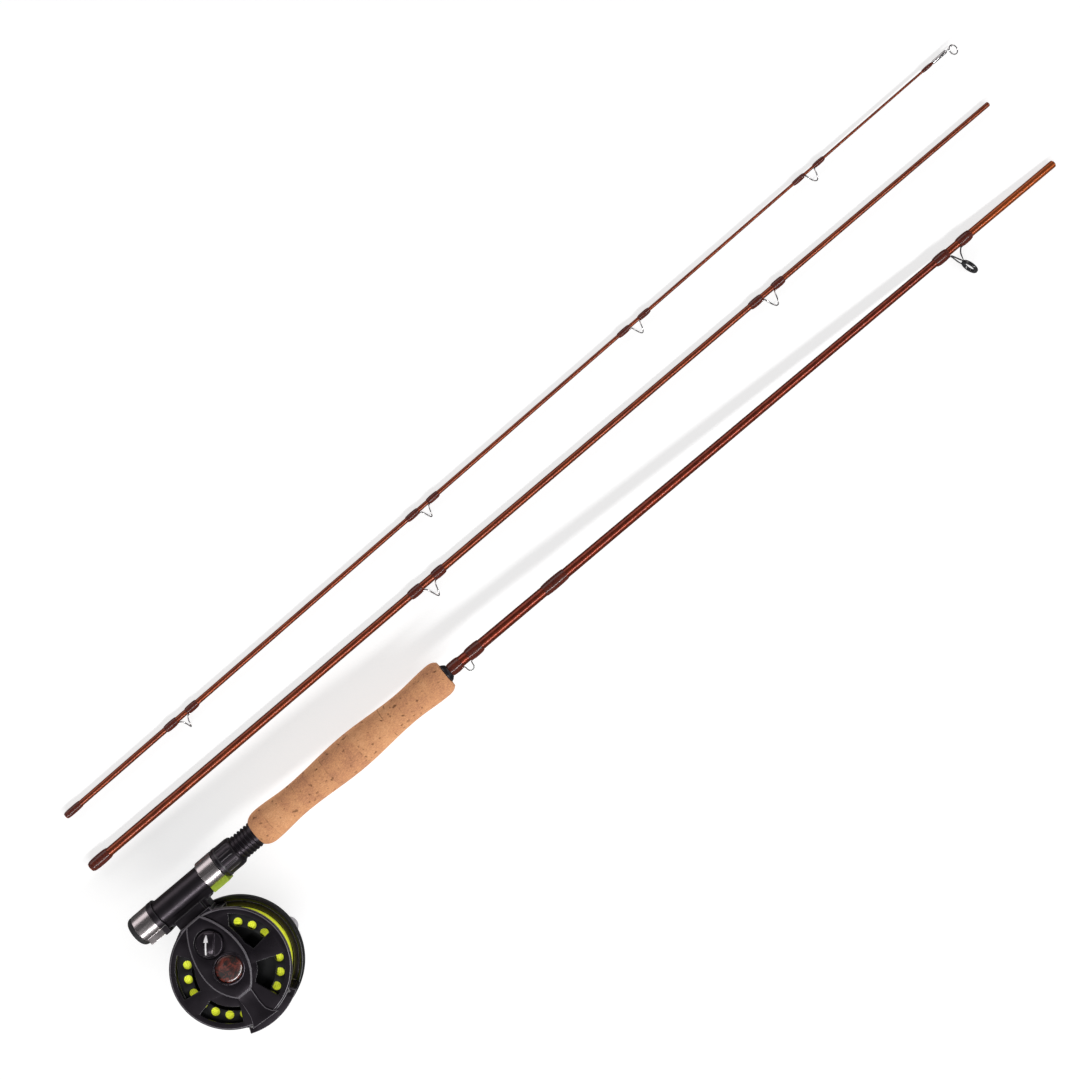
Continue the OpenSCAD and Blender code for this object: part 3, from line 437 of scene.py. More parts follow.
def blank_look(name, place, light, dark, spiral, marks, paler_from=None):
    """Clear red-brown varnish over the wound blank, whose tape marks run round it as a spiral of the
    given pitch. marks is how strongly they show. Beyond paler_from the colour is more orange."""
    look = Shader(
        name, place, Metallic=0.72, Roughness=0.30, IOR=1.5,
        Coat_Weight=0.3, Coat_Roughness=0.05, Coat_IOR=1.4,
    )
    angle = look.math("ARCTAN2", look.axis("Z"), look.axis("Y"))
    turns = look.add(look.math("DIVIDE", look.axis("X"), spiral), look.math("DIVIDE", angle, math.tau))
    tape = look.math("PINGPONG", turns, 0.5)
    mottle = look.noise(0.35, 4, 0.6, look.stretched((0.25, 1, 1)))
    tone = look.add(look.times(tape, 2 * marks), look.times(mottle, 0.5))
    tint = look.ramp(tone, (0.10 + marks * 0.3, dark), (0.40 + marks * 0.7, light))
    if paler_from:
        beyond = look.math("SUBTRACT", look.axis("X"), paler_from)
        thin = look.math("DIVIDE", beyond, PALE_LENGTH)
        tint = look.mix(look.ramp(thin, (0.0, 0.0), (0.6, 1.0)), tint, BLANK_PALE)
    look.colour(tint)
    look.roughness(mottle, 0.28, 0.42)
    ridge = look.add(look.times(tape, 0.8), mottle)
    look.bump(ridge, 0.012, 0.5)
    return look.material


STRAND_PITCH = 0.22


def thread_look(name, place):
    """Red-brown thread wound side by side under clear epoxy."""
    look = Shader(
        name, place, Roughness=0.5, IOR=1.4, Specular_IOR_Level=0.3,
        Coat_Weight=0.75, Coat_Roughness=0.02, Coat_IOR=1.4,
    )
    turn = look.math("PINGPONG", look.axis("X"), STRAND_PITCH / 2)
    strand = look.times(turn, 2 / STRAND_PITCH)
    drift = look.noise(0.6, 3, 0.55, look.stretched((1.6, 0.5, 0.5)))
    tone = look.add(look.times(strand, 0.35), look.times(drift, 0.65))
    look.colour(look.ramp(tone, (0.2, (0.024, 0.003, 0.002)), (0.5, (0.085, 0.010, 0.004)),
                          (0.85, (0.20, 0.030, 0.008))))
    look.bump(strand, 0.05, 0.6)
    return look.material


def cork_look(name, place):
    """Sanded cork: tan with orange and pink patches, grain, and dark filler in its pits. The mesh's
    pit attribute says where the filler is, and ring gives each ring its own tone."""
    look = Shader(name, place, Roughness=0.78, IOR=1.4, Specular_IOR_Level=0.28)
    pits = look.node("Attribute", attribute_name="pit")
    rings = look.node("Attribute", attribute_name="ring")
    patch = look.noise(0.07, 4, 0.55, look.stretched((1.3, 1, 1)))
    grain = look.noise(0.9, 5, 0.65, look.stretched((0.7, 1, 1)))
    speck = look.noise(2.6, 2, 0.5)
    fibre = look.noise(1.6, 3, 0.6, look.stretched((2.2, 0.7, 0.7)))
    tone = look.add(look.times(patch, 0.26), look.times(grain, 0.4))
    tone = look.add(tone, look.times(fibre, 0.34))
    own = look.math("SUBTRACT", rings.outputs["Fac"], 0.5)
    tone = look.add(tone, look.times(own, 0.07))
    base = look.ramp(tone, (0.37, (0.40, 0.18, 0.10)), (0.46, (0.57, 0.265, 0.135)),
                     (0.54, (0.67, 0.33, 0.155)), (0.66, (0.79, 0.43, 0.24)))
    specked = look.mix(look.ramp(speck, (0.60, 0.0), (0.72, 0.6)), base, (0.30, 0.13, 0.06))
    look.colour(look.mix(pits.outputs["Fac"], specked, (0.19, 0.095, 0.045)))
    look.bump(look.add(grain, look.times(speck, 0.6)), 0.16, 0.55)
    look.roughness(grain, 0.68, 0.88)
    return look.material


def satin_look(name, place, tint, rough, grain, coat=0.0, gloss=(1, 1, 1)):
    """Moulded composite with a fine pebbled skin, grain millimetres deep, and a few rubbed patches.
    gloss tints its highlights."""
    look = Shader(name, place, Roughness=rough, IOR=1.48, Specular_Tint=(*gloss, 1))
    if coat:
        look.surface.inputs["Coat Weight"].default_value = coat
        look.surface.inputs["Coat Roughness"].default_value = 0.12
    skin = look.noise(7.0, 2, 0.5)
    rubbed = look.noise(0.08, 4, 0.6)
    light = tuple(min(1.0, c * 1.35 + 0.0015) for c in tint)
    dark = tuple(c * 0.8 for c in tint)
    look.colour(look.ramp(rubbed, (0.35, dark), (0.68, light)))
    look.roughness(rubbed, rough - 0.07, rough + 0.09)
    look.bump(skin, grain, 0.6)
    return look.material


# Painted highlight: the pale colour on rounded edges stands for the light they catch; the dark one is for edges
# without it.
EDGE_HIGHLIGHT = (0.12, 0.11, 0.125)
EDGE_UNHIGHLIT = (0.014, 0.012, 0.016)


def edge_look(name, place, centre, radius):
    """Rounded edges: nearly as dark as their part within the radius of the centre, and painted pale
    outside it as a highlight."""
    look = Shader(name, place, Roughness=0.30, IOR=1.48)
    across = look.math("SUBTRACT", look.axis("X"), centre[0])
    up = look.math("SUBTRACT", look.axis("Y"), centre[1])
    square = look.add(look.times(across, across), look.times(up, up))
    share = look.math("DIVIDE", look.math("SQRT", square), 2 * radius)
    look.colour(look.ramp(share, (0.49, EDGE_UNHIGHLIT), (0.51, EDGE_HIGHLIGHT)))
    look.bump(look.noise(4.0, 2), 0.004, 0.4)
    return look.material


def metal_look(name, place, tint, rough, brushed=None, grain=0.004):
    """Polished or brushed metal. brushed stretches the fine scratches along an axis."""
    look = Shader(name, place, Metallic=1.0, Roughness=rough)
    marks = look.noise(1.0, 4, 0.6, look.stretched(brushed or (2.5, 2.5, 2.5)))
    dark = tuple(c * 0.88 for c in tint)
    look.colour(look.ramp(marks, (0.3, dark), (0.7, tint)))
    look.roughness(marks, max(0.03, rough - 0.04), rough + 0.06)
    if grain:
        look.bump(marks, grain, 0.25)
    return look.material


def rubber_look(name, place):
    """Dull black rubber or foam with a fine open skin."""
    look = Shader(name, place, Roughness=0.7, IOR=1.45)
    skin = look.noise(3.5, 3, 0.6)
    wear = look.noise(0.25, 3, 0.5)
    look.colour(look.ramp(wear, (0.3, (0.010, 0.010, 0.011)), (0.7, (0.022, 0.022, 0.024))))
    look.roughness(skin, 0.6, 0.8)
    look.bump(skin, 0.05, 0.5)
    return look.material


def medallion_look(name, place):
    """Marbled red-brown and black under a thick clear dome."""
    look = Shader(
        name, place, Roughness=0.35, IOR=1.5,
        Coat_Weight=1.0, Coat_Roughness=0.02, Coat_IOR=1.55,
    )
    swirl = look.noise(0.16, 6, 0.68, distortion=1.4)
    vein = look.noise(0.55, 5, 0.7, distortion=0.8)
    tone = look.add(look.times(swirl, 0.7), look.times(vein, 0.3))
    look.colour(look.ramp(tone, (0.44, (0.003, 0.002, 0.002)), (0.50, (0.035, 0.006, 0.004)),
                          (0.56, (0.12, 0.018, 0.011)), (0.70, (0.21, 0.042, 0.026))))
    return look.material


def lime_look(name, place, tint, rough, glow=0.0):
    """Bright plastic with slight clouding and fine scuffs. glow adds emission in the tint, painted
    light that keeps the part bright where it lies in shade.
    """
    look = Shader(
        name, place, Roughness=rough, IOR=1.46,
        Emission_Strength=glow, Emission_Color=(*tint, 1),
    )
    cloud = look.noise(0.5, 4, 0.6)
    dark = tuple(c * 0.72 for c in tint)
    look.colour(look.ramp(cloud, (0.3, dark), (0.66, tint)))
    look.roughness(cloud, rough - 0.06, rough + 0.12)
    look.bump(look.noise(4.0, 3, 0.6), 0.02, 0.4)
    return look.material


# The black plastic's highlights are faintly violet
GLOSS = (1.0, 0.86, 1.0)
COMPOSITE = (0.003, 0.0024, 0.0038)
# The plate's edges are dark, without the painted highlight, within the first circle, and the leaf's within the
# second
PLATE_DARK = ((-0.5, 1.8), 39.5)
LEAF_DARK = ((0, 24), 12)
LOOKS = {
    "butt_blank": blank_look("butt varnish", BUTT, BUTT_LIGHT, BUTT_DARK, 7.0, 0.12, PALE_X),
    "mid_blank": blank_look("mid varnish", MID, BLANK_LIGHT, BLANK_DARK, 9.0, 0.04),
    "tip_blank": blank_look("tip varnish", TIP, BLANK_LIGHT, BLANK_DARK, 9.0, 0.04),
    **{f"{name}_thread": thread_look(f"{name} thread", place) for name, place in SECTIONS.items()},
    "cork": cork_look("cork", BUTT),
    "rubber": rubber_look("rubber", BUTT),
    "seat": satin_look("satin seat", BUTT, (0.004, 0.0035, 0.0045), 0.34, 0.002, gloss=GLOSS),
    "composite": satin_look("reel composite", REEL, COMPOSITE, 0.28, 0.008, gloss=GLOSS),
    "plate": satin_look("plate composite", REEL, COMPOSITE, 0.28, 0.008, gloss=GLOSS),
    "dial": satin_look("dial composite", DIAL, (0.004, 0.0032, 0.0048), 0.28, 0.008, gloss=GLOSS),
    "leaf": satin_look("leaf composite", REEL, COMPOSITE, 0.28, 0.008, gloss=GLOSS),
    # These four looks paint a highlight onto the rounded edges.
    "plate_rubbed": edge_look("painted plate edge highlight", REEL, *PLATE_DARK),
    "leaf_rubbed": edge_look("painted leaf edge highlight", REEL, *LEAF_DARK),
    "composite_rubbed": satin_look("painted composite edge highlight", REEL, EDGE_HIGHLIGHT, 0.30, 0.004),
    "seat_rubbed": satin_look("painted seat edge highlight", BUTT, (0.030, 0.028, 0.032), 0.30, 0.003),
    "spool": satin_look("spool composite", REEL, (0.0045, 0.0045, 0.005), 0.30, 0.006),
    "hood": metal_look("gunmetal", BUTT, (0.50, 0.455, 0.465), 0.26, (0.3, 2, 2), 0.0),
    "wire": metal_look("guide wire", None, (0.60, 0.58, 0.585), 0.14),
    "keeper": metal_look("keeper wire", BUTT, (0.30, 0.32, 0.31), 0.22),
    "guide_frame": satin_look("guide ring", BUTT, (0.014, 0.014, 0.016), 0.22, 0.003, coat=0.6),
    "ceramic": satin_look("ceramic", BUTT, (0.018, 0.018, 0.022), 0.08, 0.001, coat=1.0),
    "steel": metal_look("steel", None, (0.56, 0.55, 0.54), 0.22),
    "brass": metal_look("bronze", REEL, (0.72, 0.50, 0.22), 0.22),
    "foam": rubber_look("foam", BUTT),
    "lime": lime_look("lime insert", BUTT, (0.34, 0.46, 0.035), 0.40),
    # The line's glow is painted light, so that it stays bright in the shade under the plate.
    "line": lime_look("line coating", REEL, (0.76, 0.82, 0.05), 0.34, 0.35),
    "knob": satin_look("knob plastic", KNOB, (0.42, 0.41, 0.44), 0.36, 0.006),
    "medallion": medallion_look("marbled dome", REEL),
    "mark": satin_look("white mark", DIAL, (0.78, 0.76, 0.78), 0.45, 0.004),
}


# ---------- Rod: blanks, wraps and grip ----------


def keep(node, look):
    """Leaves a CAD node as it is, with a finished material."""
    mesh_data = nodes[node].data
    mesh_data.materials.clear()
    mesh_data.materials.append(LOOKS[look])


def solids_of(node, place):
    """The CAD node's separate solids, each as a list of local points, in order along the rod."""
    shaped = bmesh.new()
    shaped.from_mesh(nodes[node].data)
    bmesh.ops.remove_doubles(shaped, verts=shaped.verts, dist=WELD)
    back = place.inverted()
    left = set(shaped.verts)
    found = []
    while left:
        queue = [left.pop()]
        points = []
        while queue:
            vert = queue.pop()
            points.append(back @ vert.co)
            for edge in vert.link_edges:
                other = edge.other_vert(vert)
                if other in left:
                    left.remove(other)
                    queue.append(other)
        found.append(points)
    shaped.free()
    return sorted(found, key=lambda points: min(p.x for p in points))


def distance(p):
    """How far a local point lies from the rod's axis."""
    return math.hypot(p.y, p.z)


# The angle round the rod at which the guides' feet lie, and half the ridge over one, in radians
FOOT_SIDE = math.pi
RIDGE_HALF = 0.42
# The share of a wrap's thickness that only the ridge has
HUMP_SHARE = 0.32
# The coat starts with a round lip this long, with this share of the wrap's thickness
COAT_LIP = 0.35
LIP_SHARE = 0.28
WRAP_STEPS = 44


def wrap_span(verts, faces, place, points, foot_end):
    """One thread wrap with its coat of epoxy. foot_end is 1 where the ridge over a wire foot reaches
    the wrap's far end, -1 where it reaches the near end, and 0 where there is no foot."""
    x0 = min(p.x for p in points)
    x1 = max(p.x for p in points)
    inner = [min(distance(p) for p in points if abs(p.x - x) < 0.05) for x in (x0, x1)]
    outer = max(distance(p) for p in points)
    swell = outer - sum(inner) / 2

    def height(u):
        end = min(u, 1 - u) * (x1 - x0)
        lip = math.sqrt(1 - (1 - min(1.0, end / COAT_LIP)) ** 2) * LIP_SHARE
        body = max(0.0, 1 - abs(2 * u - 1) ** 2.6) ** 0.75
        return lip * swell + (1 - LIP_SHARE) * swell * body

    top = []
    for i in range(WRAP_STEPS + 1):
        u = (1 - math.cos(math.pi * i / WRAP_STEPS)) / 2
        bore = inner[0] + (inner[1] - inner[0]) * u
        top.append((x0 + (x1 - x0) * u, bore + height(u)))
    outline = [(x0, inner[0]), *top[1:-1], (x1, inner[1])]

    def with_hump(x, radius, angle):
        u = (x - x0) / (x1 - x0)
        bore = inner[0] + (inner[1] - inner[0]) * u
        rise = radius - bore
        if foot_end == 0 or rise < 0.01:
            return radius
        near = u if foot_end > 0 else 1 - u
        off = math.remainder(angle - FOOT_SIDE, math.tau)
        ridge = math.exp(-((off / RIDGE_HALF) ** 2)) * min(1.0, near / 0.25)
        return bore + rise * (1 - HUMP_SHARE + HUMP_SHARE * ridge)

    revolve(verts, faces, place, outline, 72, around_x, with_hump)


def wraps(node, section, foot_ends):
    """A node's wraps as one piece, with a foot end for each."""
    place = SECTIONS[section]
    verts, faces = [], []
    for points, foot_end in zip(solids_of(node, place), foot_ends):
        wrap_span(verts, faces, place, points, foot_end)
    built(node + "_coated", verts, faces, section + "_section", "thread", section + "_thread", node)


def outer_line(node, place):
    """The node's largest radius at each of its stations along the rod."""
    found = {}
    for p in local_points(node, place):
        x = round(p.x, 1)
        found[x] = max(found.get(x, 0), distance(p))
    return sorted(found.items())


def along_line(line, x):
    """The line's radius at x, between its two nearest stations."""
    for (xa, ra), (xb, rb) in zip(line, line[1:]):
        if x <= xb:
            return ra + (rb - ra) * max(0.0, (x - xa) / (xb - xa))
    return line[-1][1]


def smoothstep(low, high, value):
    """0 below low, 1 above high, and a smooth rise between."""
    u = max(0.0, min(1.0, (value - low) / (high - low)))
    return u * u * (3 - 2 * u)


CORK_SIDES = 150
CORK_ROWS = 34
PIT_DEPTH = 0.42
# The glue joints: those whose random strength is above this one show, this deep and this far each side
JOINT_SHOWS = 0.55
JOINT_DEPTH = 0.21
JOINT_HALF = 0.45
# Sanding evens the profile out over this distance, but not at the two ends
SANDED = 2.2
SHARP_END = 7


def cork_grip():
    """The thirteen rings, turned and sanded together, with pits opened along their grain."""
    rng = random.Random(11)
    rings = solids_of("cork_rings", BUTT)
    line = outer_line("cork_rings", BUTT)
    bore = min(distance(p) for p in rings[0])
    first = min(p.x for p in rings[0])
    last = max(p.x for p in rings[-1])
    rows, tones, joints = [], [], []
    for points in rings:
        x0 = min(p.x for p in points)
        x1 = max(p.x for p in points)
        tone = rng.random()
        joints.append((x1, rng.random()))
        for k in range(CORK_ROWS):
            u = k / (CORK_ROWS - 1)
            u -= 0.06 * math.sin(math.tau * u)
            rows.append(x0 + (x1 - x0) * u)
            tones.append(tone)
    profile = []
    for x in rows:
        near = [along_line(line, max(first, min(last, x + d * SANDED))) for d in (-1, -0.5, 0, 0.5, 1)]
        middle = sum(near) / len(near)
        share = smoothstep(0, SHARP_END, min(x - first, last - x))
        profile.append(along_line(line, x) * (1 - share) + middle * share)
    pits, ring_tones = [], []

    def point(i, j):
        angle = math.tau * j / CORK_SIDES
        x, radius = rows[i], profile[i]
        p = Vector((x, radius * math.cos(angle), radius * math.sin(angle)))
        large = noise.noise(Vector((p.x * 0.30, p.y * 0.42, p.z * 0.42)) + Vector((3.1, 7.7, 1.3)))
        ragged = noise.noise(p * 1.35 + Vector((9.2, 0.4, 5.5)))
        small = noise.noise(Vector((p.x * 0.9, p.y * 1.25, p.z * 1.25)) + Vector((21.0, 4.0, 8.0)))
        pit = smoothstep(0.50, 0.60, large + 0.20 * ragged)
        speck = smoothstep(0.53, 0.68, small + 0.14 * ragged) * 0.4
        groove = 0.0
        for joint, strength in joints[:-1]:
            off = abs(x - joint)
            if off < JOINT_HALF and strength > JOINT_SHOWS:
                patchy = smoothstep(0.0, 0.3, noise.noise(p * 0.16 + Vector((joint, 0, 0))))
                groove = max(groove, (1 - off / JOINT_HALF) * strength * patchy)
        depth = max(pit, speck * 0.5) * PIT_DEPTH + groove * JOINT_DEPTH
        pits.append(min(1.0, max(pit * (0.75 + 0.25 * ragged), speck * 0.75, groove * 0.8)))
        ring_tones.append(tones[i])
        fine = 0.03 * noise.noise(p * 2.1)
        return BUTT @ around_x(x, radius - depth + fine, angle)

    verts, faces = [], []
    grid(verts, faces, point, len(rows), CORK_SIDES, False)
    outside = len(verts)
    for x in (first, last):
        verts.extend(BUTT @ around_x(x, bore, math.tau * j / CORK_SIDES) for j in range(CORK_SIDES))
    inner_first, inner_last = outside, outside + CORK_SIDES
    top = (len(rows) - 1) * CORK_SIDES
    for j in range(CORK_SIDES):
        k = (j + 1) % CORK_SIDES
        faces.append((inner_first + j, inner_first + k, k, j))
        faces.append((top + j, top + k, inner_last + k, inner_last + j))
        faces.append((inner_first + k, inner_first + j, inner_last + j, inner_last + k))
    mesh_data = build_mesh("cork_grip", verts, faces)
    spare = [0.0] * (len(mesh_data.vertices) - len(pits))
    for name, values in (("pit", pits + spare), ("ring", ring_tones + spare)):
        layer = mesh_data.attributes.new(name, "FLOAT", "POINT")
        layer.data.foreach_set("value", values)
    piece = new_piece("cork_grip", mesh_data, "butt_section", "cork", LOOKS["cork"], "cork_rings")
    shade_by_angle(piece, 50)


THREAD_PITCH = 2.8
THREAD_DEPTH = 1.0
THREAD_START = 73
THREAD_STEPS = 22
# The threaded end is turned down by this much
TURNED_DOWN = 0.15


def seat_barrel():
    """The barrel with a true helical thread from the hood to the grip."""
    low, high = local_box("seat_barrel", BUTT)
    radius = max(distance(p) for p in local_points("seat_barrel", BUTT))
    bore = min(distance(p) for p in local_points("seat_barrel", BUTT))
    plain = int((THREAD_START - low.x) / 2)
    rows = [low.x, low.x + 0.02, *[low.x + 2 * k for k in range(1, plain)]]
    count = int((high.x - THREAD_START) / THREAD_PITCH * THREAD_STEPS)
    rows += [THREAD_START + THREAD_PITCH * k / THREAD_STEPS for k in range(count + 1)]
    rows += [high.x - 0.02, high.x]

    def shape(x, base, angle):
        if base < radius - 1:
            return base
        phase = ((x - THREAD_START) / THREAD_PITCH - angle / math.tau) % 1
        groove = smoothstep(0.0, 0.22, phase) - smoothstep(0.56, 0.78, phase)
        run_in = smoothstep(THREAD_START, THREAD_START + 1.5, x)
        fade = run_in * (1 - smoothstep(high.x - 1.2, high.x - 0.6, x))
        step = TURNED_DOWN * smoothstep(THREAD_START - 1, THREAD_START, x)
        return base - step - THREAD_DEPTH * groove * fade

    outline = [(low.x, bore), *[(x, radius) for x in rows], (high.x, bore)]
    verts, faces = [], []
    revolve(verts, faces, BUTT, outline, 96, around_x, shape)
    piece = built("threaded_barrel", verts, faces, "butt_section", "seat_plastic", "seat", "seat_barrel")
    shade_by_angle(piece, 50)


# ---------- Rod: wire guides ----------


def blade(wire_r, foot_share):
    """Wire size along a guide: round, and ground to a thin blade at the two feet."""

    def size(u):
        end = min(u, 1 - u) / foot_share
        thin = smoothstep(0.0, 0.8, end)
        return wire_r * (1.25 - 0.25 * thin), wire_r * (0.3 + 0.7 * thin)

    return size


# A snake guide's foot, and the steps along each foot and round the turn of wire
SNAKE_FOOT = 9
FOOT_STEPS = 10
TURN_STEPS = 72
MID_WIRE_R = 0.45


def snake_guide(node, section, wire_r):
    """One open turn of wire between two feet, taken from the CAD guide's own box."""
    place = SECTIONS[section]
    low, high = local_box(node, place)
    centre = (low.x + high.x) / 2
    gap = high.x - low.x - 2 * SNAKE_FOOT
    base = -(high.y - wire_r)
    far = -(low.y + wire_r)
    middle, swing = (far + base) / 2, (far - base) / 2
    half = high.z - wire_r
    path = [Vector((low.x + SNAKE_FOOT * k / FOOT_STEPS, -base, 0)) for k in range(FOOT_STEPS)]
    for i in range(TURN_STEPS + 1):
        u = i / TURN_STEPS
        angle = math.tau * u - math.pi
        path.append(
            Vector((centre + gap * (u - 0.5), -middle - swing * math.cos(angle), half * math.sin(angle)))
        )
    path += [
        Vector((high.x - SNAKE_FOOT * k / FOOT_STEPS, -base, 0)) for k in reversed(range(FOOT_STEPS))
    ]
    verts, faces = [], []
    sweep(verts, faces, place, path, blade(wire_r, 0.14), 16)
    built(node + "_wire", verts, faces, section + "_section", "guide_wire", "wire", node)


KEEPER_WIRE_R = 0.4
KEEPER_LOOP = 6
KEEPER_CENTRE = 12


def hook_keeper():
    """A loop of wire between two feet, to hold a hook by."""
    low, high = local_box("hook_keeper", BUTT)
    wire_r = KEEPER_WIRE_R
    half = KEEPER_LOOP / 2 - wire_r
    centre = low.x + KEEPER_CENTRE
    y0 = -(high.y - wire_r)
    far = -(low.y + wire_r) - half
    bend = [
        Vector((centre + half * math.sin(a), -far - half * math.cos(a), 0))
        for a in (math.radians(-90 + 7.5 * k) for k in range(25))
    ]

    def foot(side, tip_x, bend_end):
        """The wire from the foot's tip to the loop."""
        flat = [centre + side * (half + off) for off in (4, 1.6)]
        knee = (centre + side * (half + 0.45), -y0 - 0.5, 0)
        return smooth_path([*((x, -y0, 0) for x in (tip_x, *flat)), knee, bend_end], 6)

    wire = [*foot(-1, low.x, bend[0]), *bend[1:-1], *reversed(foot(1, high.x, bend[-1]))]
    verts, faces = [], []
    sweep(verts, faces, BUTT, wire, blade(wire_r, 0.12), 16)
    built("keeper_wire", verts, faces, "butt_section", "guide_wire", "keeper", "hook_keeper")


STRIPPER_LEAN = math.radians(13)
STRIPPER_RING_R = 6.6
STRIPPER_WIRE_R = 0.5
TIP_LEAN = math.radians(20)
TIP_RING_R = 3.6
TIP_WIRE_R = 0.4
TIP_TUBE_R = 1.35
TIP_TUBE_END = 841
TIP_CENTRE = Vector((846, -2.6, 0))


def stripping_guide():
    """Three wire legs and a ring that holds a polished ceramic insert."""
    low, high = local_box("stripping_guide_frame", BUTT)
    ring_low, ring_high = local_box("stripping_guide_ring", BUTT)
    centre = (ring_low + ring_high) / 2
    wire_r, ring_r = STRIPPER_WIRE_R, STRIPPER_RING_R
    lean = Matrix.Translation(centre) @ Matrix.Rotation(STRIPPER_LEAN, 4, "Z")
    place = BUTT @ lean
    verts, faces = [], []
    holder = rounded([(-1.1, ring_r - 1.15), (-1.1, ring_r - 0.35), (-0.55, ring_r), (0.55, ring_r),
                      (1.1, ring_r - 0.35), (1.1, ring_r - 1.15)], 0.22, 3)
    revolve(verts, faces, place, holder, 72)
    y0 = high.y - wire_r
    near = centre.y + ring_r - 0.6
    single = smooth_path([(high.x, y0, 0), (centre.x + 7, y0, 0), (centre.x + 4.6, y0, 0),
                          (centre.x + 3.3, y0 - 0.7, 0), (centre.x + 1.2, y0 - 3.4, 0),
                          (centre.x - 0.6, near - 0.2, 0)], 8)
    sweep(verts, faces, BUTT, single, blade(wire_r, 0.2), 14)
    for side in (-1, 1):
        leg = smooth_path([(low.x, y0, 0.5 * side), (centre.x - 8.4, y0, 0.55 * side),
                           (centre.x - 6.6, y0 - 0.1, 0.6 * side), (centre.x - 5.2, y0 - 0.9, 0.95 * side),
                           (centre.x - 3.2, centre.y + 8.3, 2.9 * side),
                           (centre.x - 1.2, centre.y + 4.4, 4.5 * side)], 8)
        sweep(verts, faces, BUTT, leg, blade(wire_r, 0.2), 14)
    built("stripping_guide_wire", verts, faces, "butt_section", "guide_frame", "guide_frame",
          "stripping_guide_frame")
    verts, faces = [], []
    insert = rounded([(-0.35, 4.0), (-1.15, 4.5), (-1.35, 5.0), (-1.1, 5.42), (1.1, 5.42),
                      (1.35, 5.0), (1.15, 4.5), (0.35, 4.0)], 0.3, 4)
    revolve(verts, faces, place, insert, 72)
    built("ceramic_insert", verts, faces, "butt_section", "ceramic", "ceramic", "stripping_guide_ring")


def tip_top():
    """A tube over the tip with a wire ring and two braces."""
    low = local_box("tip_top", TIP)[0]
    ring_r, wire_r, centre = TIP_RING_R, TIP_WIRE_R, TIP_CENTRE
    bore = min(distance(p) for p in local_points("tip_top", TIP) if p.x < low.x + 0.05)
    verts, faces = [], []
    tube = rounded([(low.x, bore), (low.x, bore + 0.22), (low.x + 1.2, TIP_TUBE_R),
                    (TIP_TUBE_END, TIP_TUBE_R), (TIP_TUBE_END, bore)], 0.2, 3)
    revolve(verts, faces, TIP, tube, 40)
    ring = [(wire_r * math.sin(a), ring_r + wire_r * math.cos(a))
            for a in (math.tau * k / 16 for k in range(16))]
    lean = Matrix.Translation(centre) @ Matrix.Rotation(TIP_LEAN, 4, "Y")
    revolve(verts, faces, TIP @ lean, ring, 72)
    brace = ring_r - 0.2
    for side in (-1, 1):
        end = Vector((centre.x + brace * 0.5 * side * math.sin(TIP_LEAN), centre.y + brace * 0.86,
                      brace * 0.5 * side * math.cos(TIP_LEAN)))
        start = Vector((TIP_TUBE_END - 3, -0.65, 1.15 * side))
        leg = smooth_path([start, start.lerp(end, 0.4) + Vector((0, 0.12, 0.1 * side)), end], 8)
        sweep(verts, faces, TIP, leg, wire_r, 12)
    built("tip_top_ring", verts, faces, "tip_section", "guide_wire", "wire", "tip_top")


# ---------- Reel ----------

LINE_R = 0.55
# The turns lie this far apart, with this many steps in each
LINE_PITCH = LINE_R * 2.04
LINE_STEPS = 80
# The solid core under the outer turns lies this far inside them
CORE_INSET = 0.75
# The winding is hollowed round the hub, this wide and this deep
HOLLOW_WIDTH = 7.6
HOLLOW_DEPTH = 5.2


def wound_line():
    """The line laid in turns: a flat spiral under the flange, then a helix down the outside."""
    points = local_points("line_winding", REEL)
    low, high = local_box("line_winding", REEL)
    outer = max(math.hypot(p.x, p.y) for p in points)
    top_inner = min(math.hypot(p.x, p.y) for p in points if p.z > high.z - 0.1)
    hub = min(math.hypot(p.x, p.y) for p in points)
    height = high.z - low.z - 2 * LINE_R
    path = []
    turns_top = int((outer - top_inner - 2 * LINE_R) / LINE_PITCH)
    radius0 = outer - LINE_R - turns_top * LINE_PITCH
    for i in range(turns_top * LINE_STEPS):
        radius = radius0 + LINE_PITCH * i / LINE_STEPS
        z = high.z - LINE_R + 0.10 * noise.noise(Vector((i * 0.02, 3.3, 0)))
        path.append(around_z(z, radius, math.tau * i / LINE_STEPS))
    turns_side = int(height / LINE_PITCH)
    for i in range(turns_side * LINE_STEPS):
        z = high.z - LINE_R - height * i / (turns_side * LINE_STEPS)
        radius = outer - LINE_R + 0.14 * noise.noise(Vector((i * 0.017, 8.1, 0)))
        path.append(around_z(z, radius, math.tau * i / LINE_STEPS))
    verts, faces = [], []
    sweep(verts, faces, REEL, path, LINE_R, 10)
    core = rounded([(low.z + 0.1, hub), (low.z + 0.1, outer - CORE_INSET),
                    (high.z - CORE_INSET, outer - CORE_INSET),
                    (high.z - CORE_INSET, hub + HOLLOW_WIDTH),
                    (high.z - HOLLOW_DEPTH, hub + HOLLOW_WIDTH), (high.z - HOLLOW_DEPTH, hub)], 0.3, 2)
    revolve(verts, faces, REEL, core, 96, around_z)
    built("wound_line", verts, faces, "spool", "fly_line", "line", "line_winding")


# The dome falls by this much times the square of the radius, and rolls over at its edge by this much
DOME_FALL = 0.0054
DOME_ROLL = 1.1
DOME_STEPS = 18


